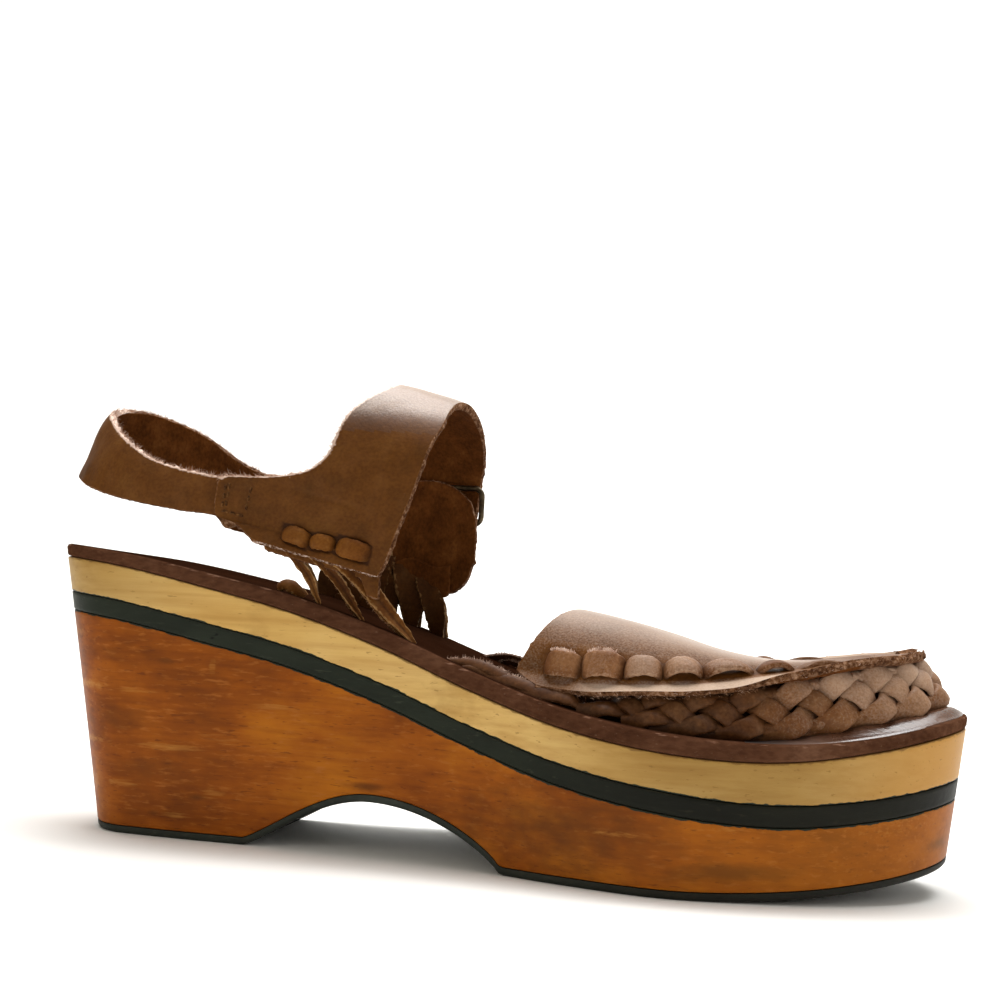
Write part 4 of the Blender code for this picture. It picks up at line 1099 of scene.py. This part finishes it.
# ---------------------------------------------------------------- the braid
def band_line(start, count):
    """The braid's U from behind on the inner side to behind on the outer side: foot and top points."""
    share = 1.0 - (1.0 - np.linspace(0.0, 1.0, count)) ** 2.4
    x = start + (BRAID_TOE - start) * share
    halves = []
    for side in (-1, 1):
        width = full_width(x, side) - BRAID_INSET
        halves.append(np.stack([x, side * width * end_round(BRAID_TOE - x, BRAID_ROUND, TOE_POWER)], -1))
    plan = np.concatenate([halves[0], halves[1][-2::-1]])
    reach = walked(plan)
    even = np.linspace(0.0, reach[-1], count)
    plan = smoothed(read_at(even, reach, plan), 6)
    way = unit(np.gradient(plan, axis=0))
    x = plan[:, 0]
    inward = np.stack([-way[:, 1], way[:, 0]], 1) * np.interp(x, *BRAID_LEANS)[:, None]
    foot = np.column_stack([plan, insole_top(x) + 0.7 + BEVEL_RISE * bevel(x)])
    top = np.column_stack([plan + inward, 0 * x])
    under = column(VAMP_ROWS, 1, np.clip(top[:, 0], 130.0, 238.0)) - 0.7 + 1.3 * ease(x, 196.0, 222.0)
    top[:, 2] = foot[:, 2] + np.maximum(under - foot[:, 2], 0.0) * ease(x, start - 3.0, 140.0) + 1.0
    top[:, 2] = np.minimum(top[:, 2], np.maximum(under, foot[:, 2] + 1.0))
    return even, foot, top


# The band that the strands weave along, and the way it faces
even, foot, top = band_line(BRAID_START, 900)
middle = 0.5 * (foot + top)
outward = unit(np.cross(unit(np.gradient(middle, axis=0)), top - foot))
outward = outward * np.sign((outward * (middle - BRAID_INSIDE)).sum(1))[:, None]

# Each strand crosses the band slantwise, folds over its edge and comes back: one strip a crossing
draw = np.random.default_rng(6)
parts = []
for crossing in range(int(2 * STRANDS * even[-1] / BRAID_PERIOD) + STRANDS):
    rising = crossing % 2 == 0
    start = (crossing // 2) * BRAID_PERIOD / STRANDS - 0.5 * BRAID_PERIOD
    turn = np.linspace(-0.035, 0.535, 25) + (0.0 if rising else 0.5)
    reach = start + BRAID_PERIOD * turn
    if reach[0] < 0.0 or reach[-1] > even[-1]:
        continue
    sway = (4 * turn - 1) if rising else (3 - 4 * turn)
    sway = 0.97 * np.tanh(sway * BRAID_BEND) / math.tanh(BRAID_BEND) + draw.uniform(-0.03, 0.03)
    eighth = np.clip((turn * 8).astype(int), 0, 7)
    part_way = 0.5 - 0.5 * np.cos(math.pi * np.clip(turn * 8 - eighth, 0.0, 1.0))
    level = OVER_UNDER[eighth] + (OVER_UNDER[eighth + 1] - OVER_UNDER[eighth]) * part_way
    low, wall, facing = (read_at(reach, even, values) for values in (foot, top - foot, outward))
    if low[:, 0].min() < BRAID_REAR:
        continue
    tall = np.linalg.norm(wall, axis=1)
    roll = np.clip((np.abs(sway) - 0.62) / 0.36, 0.0, 1.2) ** 2
    lift = BRAID_LIFT * level * fade(tall, 4.0, 11.0) - 1.5 * roll * fade(tall, 3.0, 9.0) + 0.4
    centre = low + wall * (0.5 + 0.5 * sway * (1 - 0.06 * roll))[:, None] + facing * lift[:, None]
    tilt = BRAID_FOLD * np.sign(sway) * np.minimum(roll, 1.0)
    look = facing * np.cos(tilt)[:, None] + unit(wall) * np.sin(tilt)[:, None]
    wide = np.clip(0.30 * tall + 1.9, 2.6, STRAND_WIDE) * (1.0 + draw.uniform(-0.08, 0.08))
    # Painted light and shade on each strand: darker toward the band's foot, under the vamp's lip (there
    # partly as dirt) and where it dips under a neighbour, paler with painted highlights toward the toe; own
    # is the strand's own tone
    toward_toe = ease(centre[:, 0], 185.0, 236.0)
    own = draw.normal(0.0, 0.08)
    tone = 0.38 + 0.26 * toward_toe + own + 0.10 * np.clip(sway, -1, 1)
    grime_and_shade = 0.62 * (1 - toward_toe) ** 1.3 + 0.45 * np.clip(-level, 0.0, 1.0) - 0.5 * own
    rubbed = toward_toe * np.clip(0.55 + 2.0 * own + 0.25 * sway, 0.0, 0.95)
    parts.append(strip(centre, look, wide, STRAND_THICK, cup=0.04 * wide, tone=tone, ragged=0.16,
                       seed=61 + crossing, grime_and_shade=np.clip(grime_and_shade, 0.0, 0.9), wear=0.72, rubbed=rubbed))
add_piece("braided_wall", parts, [LACING], ("braid",), 60.0)

# Flat strips behind the braid, coming up out of slits in the footbed's edge, one after another
parts = []
for side in (-1, 1):
    for n, (start, end, wide, rise, tone) in enumerate(WAIST_STRIPS):
        t = np.linspace(0.0, 1.0, 30)
        tucked = ease(t, 0.72, 1.0)
        x = start + (end - start) * t
        inset = 4.6 - 0.6 * (n == 1) + 1.6 * t + 4.5 * tucked
        high = (rise + 0.8 + 0.9 * (side > 0)) * np.sin(0.5 * math.pi * np.minimum(t * 1.6, 1.0))
        high = insole_top(x) - 0.8 + high + 0.3 * np.sin(5 * t + n) - 2.2 * tucked
        path = np.stack([x, side * (half_width(x, side) - inset), high], -1)
        look = np.stack([0 * x - 0.1, side * (0.9 - 0.2 * t), 0.5 + 0.3 * t], -1)
        grown = wide * np.minimum(0.35 + t * 1.8, 1.0)
        parts.append(strip(path, look, grown, 1.1, cup=0.12, tone=tone, ragged=0.16, seed=71 + n,
                           grime_and_shade=0.52, wear=0.9))
        rim = rim_of_strip(path, look, grown, 0.48 * side)
        parts.append(fibres(rim, rim - path, look, per_mm=26.0, length=1.3, seed=81 + n, kind=2,
                            thick=0.2, wall=0.9))
add_piece("waist_strips", parts, LACED)


# ---------------------------------------------------------------- quarters, strap and sling
def between(rows, shares, times):
    """A sheet between the two edges that each row gives, evened out lengthways so many times."""
    share = shares[:, None]
    return smoothed(rows[:, None, :3] * (1 - share) + rows[:, None, 3:] * share, times)


def on_sheet(face, x, z):
    """The place on a standing sheet at x and height z, and the way its grain side faces there."""
    weight = hump(np.hypot(face[..., 0] - x, face[..., 2] - z), 0.0, 1.1 * math.sqrt(2))[..., None]
    here = (face * weight).sum((0, 1)) / weight.sum()
    here[0], here[2] = x, z
    return here, unit((normals_of(face) * weight).sum((0, 1)))


def stitches(face, lines, seed):
    """Rows of single stitches on a standing sheet, each along a line between two (x, z) places."""
    parts = []
    for n, line in enumerate(np.array(lines)):
        draw = np.random.default_rng(seed + n)
        reach = walked(line)
        for start in np.arange(0.4, reach[-1] - 0.5 * STITCH_PITCH, STITCH_PITCH):
            skew = draw.uniform(-0.25, 0.25)

            def place(t):
                x, z = read_at(start + t * 0.62 * STITCH_PITCH, reach, line)
                return on_sheet(face, x + skew * (t - 0.5), z)

            parts.append(strip(*hop(place, 5, dive=0.25, rise=0.5, power=1.0), 0.62, 0.5))
    return parts


def eyelet_loop(face, x, z, long, tall, slope, tone, seed):
    """A thong's bight standing out of two slits in a quarter, its ends plunging and darkened there with
    painted shade.
    """
    path, look = hop(lambda t: on_sheet(face, x + (t - 0.5) * long, z + slope * (t - 0.5) * long),
                     LOOP_POINTS, dive=EYELET_DIVE, rise=EYELET_DIVE + EYELET_BULGE, power=0.5)
    shares = np.linspace(0, 1, LOOP_POINTS)
    wide = tall * (0.80 + 0.20 * np.sin(math.pi * shares) ** 0.6)
    return strip(path, look, wide, 1.5, cup=0.55, tone=tone, ragged=0.14, seed=seed,
                 grime_and_shade=0.9 * np.abs(2 * shares - 1) ** 3, wear=0.8)


def around(face, table):
    """How closely each point of a sheet lies to the rim of a loop: table of x, z, long, tall, slope."""
    near = np.zeros(face.shape[:2])
    for x, z, long, tall, slope in table:
        along = face[..., 0] - x
        up = face[..., 2] - z - slope * along
        off = np.hypot(np.maximum(np.abs(along) - 0.5 * long + 1.0, 0),
                       np.maximum(np.abs(up) - 0.5 * tall + 1.0, 0))
        near = np.maximum(near, hump(np.maximum(off - 1.0, 0.0), 0.0, 0.5) * (off > 0.2))
    return near


def behind_quarter(xs, y, low, high, waver, seed):
    """The face of a strip standing behind a quarter, at y but wavering a little."""
    rise = np.linspace(0.0, 1.0, 12)[:, None]
    face = np.stack([xs + 0 * rise, y + 0 * xs + 0 * rise, low + rise * (high - low)], -1)
    face[..., 1] += waver * unevenness(face, 9.0, seed)
    return face


def hanging(head, foot, count):
    """Shares of the way from a thong's head to its foot, and the straight line between them."""
    t = np.linspace(0.0, 1.0, count)
    return t, np.outer(1 - t, head) + np.outer(t, foot)


# Inner quarter and instep strap: one sheet, its rows running from the panel's foot over the instep
rows = flowing(QUARTER_ROWS, 1.3)
share = np.linspace(1.0, 0.0, 30)
quarter = between(rows, share, times=2)
x, y, z = np.moveaxis(quarter, 2, 0)
outer_side, inner_side = y > 4.0, y < -15.0
on_panel = around(quarter, INNER_LOOPS) * inner_side
# The stitched joint is pressed flat, and the leather folds over along its top
box = np.minimum(ease(x, 51.0, 53.0), 1 - ease(x, 60.0, 62.5)) * inner_side * (z > 85.0)
fold = hump(z, 95.8, 0.45) * (np.abs(x - 58.5) < 3.4) * inner_side
crown = 0.5 * (1 - (2 * share - 1) ** 2) * (z > 104.0)      # the strap is a little rounded across
lift = 0.22 * unevenness(quarter, 17.0, 8) + 0.06 * unevenness(quarter, 6.0, 9) + crown
lift = lift - 0.35 * on_panel - 0.25 * box + 0.35 * fold
for middle, level, slope, long in CREASES:
    off = z - level - slope * (x - middle)
    lift = lift - 0.22 * hump(off, 0.0, 0.8) * hump(x, middle, long) * inner_side
quarter = raised(quarter, lift)
x, y, z = np.moveaxis(quarter, 2, 0)
last = away(quarter, quarter[-1:])
strap_end = np.where(outer_side, 1 - ease(last, 6.5, 8.5), 0.0)
frayed = ease(z, 96.0, 97.5) * (1 - ease(y, -6.0, 6.0) * 0.5)
# Round the thongs' loops the quarter is darkened with painted shade, and a little inside the stitched joint
# where it is pressed flat; the strap's end on the outer side is darker as painted shade, and the strap's top
# is paled, partly rubbed and partly painted sheen
marks = {"pressed": np.maximum(0.95 * on_panel, 0.20 * box), "edge": worn_edge(quarter, 0.6),
         "tone": 0.5 - 0.22 * strap_end - 0.05 * inner_side,
         "rubbed": 0.50 * ease(z, 113.0, 121.0), "polish": ease(z, 110.0, 120.0),
         "fray": np.maximum(frayed * hump(away(quarter, quarter[:, -1:]), 0.0, 0.9),
                            0.42 * hump(away(quarter, quarter[:1]), 0.0, 0.6))}
on_strap = slice(int(np.argmax(rows[:, 2] > 97.0)), -4)
parts = [sheet(quarter, WALL, ragged=0.22 + 0.25 * marks["fray"], seed=15, marks=marks),
         fringe(quarter, "last column", per_mm=22.0, length=2.4, seed=91, kind=PALE_FIBRE, span=on_strap),
         fringe(quarter, "first column", per_mm=3.0, length=0.7, seed=92),
         fringe(quarter, "first row", per_mm=5.0, length=0.9, seed=93)]
polish_up(parts[0])
add_piece("inner_quarter_and_strap", parts, SHEET, ("medial_quarter",))

# Two small holes near the strap's end, on its middle line: dark plugs let into the leather, painted shade for
# the holes' dark insides
parts = []
for from_end in (1.5, 6.0):
    row = int(np.argmin(np.abs(last[:, 15] - from_end) + 99 * ~outer_side[:, 15]))
    path = quarter[row, 15] + np.outer((-0.5, -0.1, 0.06), normals_of(quarter)[row, 15])
    parts.append(strip(path, UPWARD, (1.1, 1.1, 0.9), (1.1, 1.1, 0.9)))
add_piece("strap_holes", parts, [THREAD])
add_piece("inner_joint_stitching", stitches(quarter, INNER_STITCHES, 1), [THREAD])

# Facing strip behind the quarter's foot, carrying the thongs, with a flap hanging at its front
xs = np.linspace(98.6, 66.0, 34)
foot_line = 80.6 - 0.231 * (xs - 63.3)
backing = behind_quarter(xs, -28.1 - 0.055 * (xs - 63.3) + WALL + 0.35,
                         foot_line - 1.7 - 4.0 * ease(xs, 93.6, 95.6), foot_line + 9.0, 0.35, 31)
marks = {"tone": 0.45, "edge": worn_edge(backing, 0.7)}
parts = [sheet(backing, 1.7, ragged=0.3, seed=33, marks=marks),
         fringe(backing, "first row", per_mm=5.0, length=0.9, seed=95)]
add_piece("inner_facing", parts, SHEET[:4])
parts = [eyelet_loop(quarter, *spot, tone=0.54 + 0.06 * n, seed=97 + n) for n, spot in enumerate(INNER_LOOPS)]
add_piece("inner_eyelet_loops", parts, [TAN])

# Sling round the heel, its upper edge furry
share = np.linspace(0.0, 1.0, 16)
sling = between(flowing(SLING_ROWS, 1.4), share, times=4)
sling = raised(sling, 0.4 * unevenness(sling, 19.0, 12) + 0.12 * unevenness(sling, 6.0, 13)
               + 0.7 * (1 - (2 * share - 1) ** 2))
frayed = hump(away(sling, sling[:, :1]), 0.0, 0.7) * (1 - 0.75 * ease(sling[..., 1], 2.0, 12.0))
marks = {"edge": worn_edge(sling, 0.6), "tone": 0.47 + 0.05 * hump(sling[..., 0], 12.0, 14.0),
         "fray": 0.95 * frayed}
parts = [sheet(sling, WALL, ragged=0.12 + 0.4 * frayed, seed=16, marks=marks),
         fringe(sling, "first column", per_mm=22.0, length=2.2, seed=101, kind=PALE_FIBRE),
         fringe(sling, "last column", per_mm=1.5, length=0.6, seed=102)]
add_piece("heel_sling", parts, SHEET[:5], ("back_strap",))

# Outer quarter: each row of its table gives one upright line of it, from the top down to the foot
outer = between(flowing(OUTER_ROWS, 1.1)[:, [0, 1, 3, 0, 1, 2]], np.linspace(1.0, 0.0, 20), times=0)
on_panel = around(outer, OUTER_LOOPS)
outer = raised(outer, 0.35 * unevenness(outer, 18.0, 14) + 0.12 * unevenness(outer, 6.0, 17) - 0.3 * on_panel)
# Round the thongs' loops the quarter is darkened with painted shade
marks = {"pressed": 0.8 * on_panel, "edge": worn_edge(outer, 0.8), "tone": 0.48}
parts = [sheet(outer, WALL, ragged=0.3, seed=18, marks=marks),
         fringe(outer, "first column", per_mm=4.0, length=1.0, seed=105),
         fringe(outer, "last column", per_mm=4.0, length=1.0, seed=106),
         fringe(outer, "last row", per_mm=2.0, length=0.6, seed=107)]
add_piece("outer_quarter", parts, SHEET[:4], ("lateral_quarter",))

# Facing strip behind the outer quarter's foot, torn along its lower edge
xs = np.linspace(80.0, 106.5, 40)
low = column(OUTER_ROWS, 3, xs) - 1.5 + 0.75 * np.sin(0.9 * xs) + 0.375 * np.sin(2.3 * xs)
backing = behind_quarter(xs, 29.3 - WALL - 0.35, np.maximum(low, 69.2), 79.0 + 1.2 * np.sin(0.35 * xs),
                         -0.35, 35)
backing[..., 1] -= 0.3
parts = [sheet(backing, 1.3, ragged=0.3, seed=37, marks={"tone": 0.35}, kinds=(GRAIN, FLESH, FLESH)),
         fringe(backing, "first row", per_mm=4.0, length=0.9, seed=108)]
add_piece("outer_facing", parts, SHEET[:4])
parts = [eyelet_loop(outer, *spot, tone=0.55, seed=111 + n) for n, spot in enumerate(OUTER_LOOPS)]
add_piece("outer_eyelet_loops", parts, [TAN])
add_piece("outer_joint_stitching", stitches(outer, OUTER_STITCHES, 5), [THREAD])

# The ring: drawn wire bent to a rounded rectangle
reach_x, reach_z = (0.5 * (inside + RING_WIRE) - RING_CORNER for inside in RING_INSIDE)
round_wire = np.linspace(0, 2 * math.pi, 15)[:-1]
rings = []
for side_x, side_z, start in ((1, 1, 0), (-1, 1, 90), (-1, -1, 180), (1, -1, 270)):
    for angle in np.radians(np.linspace(start, start + 90, 12)):
        out = np.array((math.cos(angle), 0.0, math.sin(angle)))
        centre = out * RING_CORNER + (side_x * reach_x, 0.0, side_z * reach_z) + RING_CENTRE
        rings.append(centre + 0.5 * RING_WIRE * (np.outer(np.cos(round_wire), out)
                                                 + np.outer(np.sin(round_wire), (0.0, 1.0, 0.0))))
add_piece("ring_wire", [skin(rings, closed=True)], [aged_brass()], ("buckle_ring",))

# Thongs from the quarters down to the footbed
for name, side, x, y, z, foot_x, wide, tone, spread in THONGS:
    t, path = hanging((x, side * y, z),
                      (foot_x, side * (half_width(foot_x, side) - 3.9), insole_top(foot_x)), 34)
    path[:, 0] += 0.5 * np.sin(2.2 * math.pi * t + x)
    path[:, 1] -= 1.5 * side * np.sin(math.pi * t)
    path[:, 2] -= 0.9 * t ** 12
    wide = wide * (0.85 + 0.25 * np.sin(math.pi * t)) * (1 - (1 - 0.42 * spread) * t ** 4)
    turn = 0.5 * np.sin(2.6 * t + x)
    look = np.stack([0.9 * np.sin(turn), side * np.cos(turn), 0.25 + 0 * t], -1)
    rim = rim_of_strip(path, look, wide, 0.5)
    seed = int(x)
    # Two plies: the thong is folded lengthways, so its edge shows a groove; the outer ply is darkened down
    # its middle with painted shade
    plies = [strip(path + look * 0.6, look, wide, 1.4, cup=-0.7, tone=tone, ragged=0.22,
                   seed=121 + seed, grime_and_shade=0.2, wear=1.15, groove=0.45),
             strip(path - look * 0.8, look, wide * 0.92, 1.4, cup=0.6, tone=tone * 0.7, ragged=0.22,
                   seed=141 + seed, grime_and_shade=0.4),
             fibres(rim, rim - path, look, per_mm=4.0, length=0.9, seed=181 + seed, kind=1, wall=0.8)]
    add_piece(name + "_lace", plies, [TAN, HAIR], (name,))

# The outer thongs' second ends, spread side by side behind the first
parts = []
for n, (x, z, foot_x) in enumerate(LACE_ENDS):
    t, path = hanging((x, 25.4, z), (foot_x, half_width(foot_x, 1) - 4.4, insole_top(foot_x) - 0.8), 20)
    path += np.outer(np.sin(math.pi * t), (0.6, -1.0, 0.0))
    wide = 8.4 + 0.8 * np.sin(5 * t + n)
    parts.append(strip(path, (0.15 * (n - 1), 1.0, 0.2), wide, 1.4, cup=0.4, tone=0.12, ragged=0.3,
                       seed=201 + n, grime_and_shade=0.4, wear=0.9))
add_piece("outer_lace_ends", parts, [TAN])

# A knotted end of lace lying on the footbed between the quarters
t = np.linspace(0.0, 1.0, 15)
x = 69.0 + 7.0 * t
z = insole_top(x) - 0.2 + 2.4 * np.sin(math.pi * np.minimum(0.1 + 0.9 * t, 1.0)) ** 0.8
path = np.stack([x, -20.0 - 1.5 * np.sin(3 * t), z], -1)
parts = [strip(path, (0.0, -1.0, 0.8), 3.4, 1.6, cup=0.4, tone=0.45, ragged=0.25, seed=161)]
add_piece("loose_lace_end", parts, [TAN])


# ---------------------------------------------------------------- where it is seen
# The camera: millimetres, then its place in metres and its turns in degrees
LENS, SENSOR, SHIFT_X = 43.5, 36.0, 0.015
EYE = (0.0568, -0.3349, 0.0615)
YAW, PITCH, ROLL = (math.radians(a) for a in (10.11, -5.88, 3.19))
back = Vector((math.sin(YAW) * math.cos(PITCH), -math.cos(YAW) * math.cos(PITCH), math.sin(PITCH)))
right = Vector((math.cos(YAW), math.sin(YAW), 0.0))
up = back.cross(right)
rolled_right = right * math.cos(ROLL) + up * math.sin(ROLL)
rolled_up = up * math.cos(ROLL) - right * math.sin(ROLL)
lens = bpy.data.cameras.new("studio_camera")
lens.lens, lens.sensor_width, lens.shift_x, lens.clip_start = LENS, SENSOR, SHIFT_X, 0.01
camera = bpy.data.objects.new("studio_camera", lens)
camera.matrix_world = Matrix((rolled_right, rolled_up, back)).transposed().to_4x4()
camera.location = EYE
bpy.context.scene.collection.objects.link(camera)
bpy.context.scene.camera = camera
bpy.context.scene.view_settings.view_transform = "Standard"


def softbox(name, place, aim, width, height, power, tint="#FFFFFF"):
    """A large soft light at a place, turned to a point."""
    lamp = bpy.data.lights.new(name, "AREA")
    lamp.shape, lamp.size, lamp.size_y = "RECTANGLE", width, height
    lamp.energy, lamp.color = power, linear(tint)[:3]
    box = bpy.data.objects.new(name, lamp)
    box.location = place
    box.rotation_euler = (Vector(aim) - Vector(place)).to_track_quat("-Z", "Y").to_euler()
    bpy.context.scene.collection.objects.link(box)


softbox("overhead", (0.05, 0.22, 0.95), (0.0, 0.0, 0.05), 1.1, 0.7, 14.0)
softbox("front_left", (-0.55, -0.9, 0.45), (0.0, 0.0, 0.05), 0.8, 0.8, 2.4, "#FFF6EA")
softbox("toe_side", (0.9, -0.35, 0.45), (0.08, 0.0, 0.05), 0.5, 0.5, 1.4)
softbox("backdrop", (0.0, 0.25, 1.3), (0.0, 0.9, 0.35), 2.0, 0.3, 12.0)

room = bpy.data.worlds.new("pale_room")
bpy.context.scene.world = room
room.use_nodes = True
room.node_tree.nodes["Background"].inputs["Color"].default_value = linear("#FFF4E4")
room.node_tree.nodes["Background"].inputs["Strength"].default_value = 0.3

# A sheet of paper under the shoe, swept up behind it: metres
PAPER_HALF, SWEEP_START, SWEEP_ROUND = 3.0, 0.35, 0.5
sweep = [(-PAPER_HALF, 0.0), (SWEEP_START, 0.0)]
sweep += [(SWEEP_START + SWEEP_ROUND * math.sin(a), SWEEP_ROUND * (1 - math.cos(a)))
          for a in np.linspace(0.1, 1.5, 14)]
sweep += [(0.87, 1.6)]
mesh = bpy.data.meshes.new("paper_sweep")
mesh.from_pydata([(x, y, z) for y, z in sweep for x in (-PAPER_HALF, PAPER_HALF)], [],
                 [(2 * i, 2 * i + 1, 2 * i + 3, 2 * i + 2) for i in range(len(sweep) - 1)])
mesh.materials.append(studio_paper())
mesh.shade_smooth()
paper = bpy.data.objects.new("paper_sweep", mesh)
bpy.context.scene.collection.objects.link(paper)
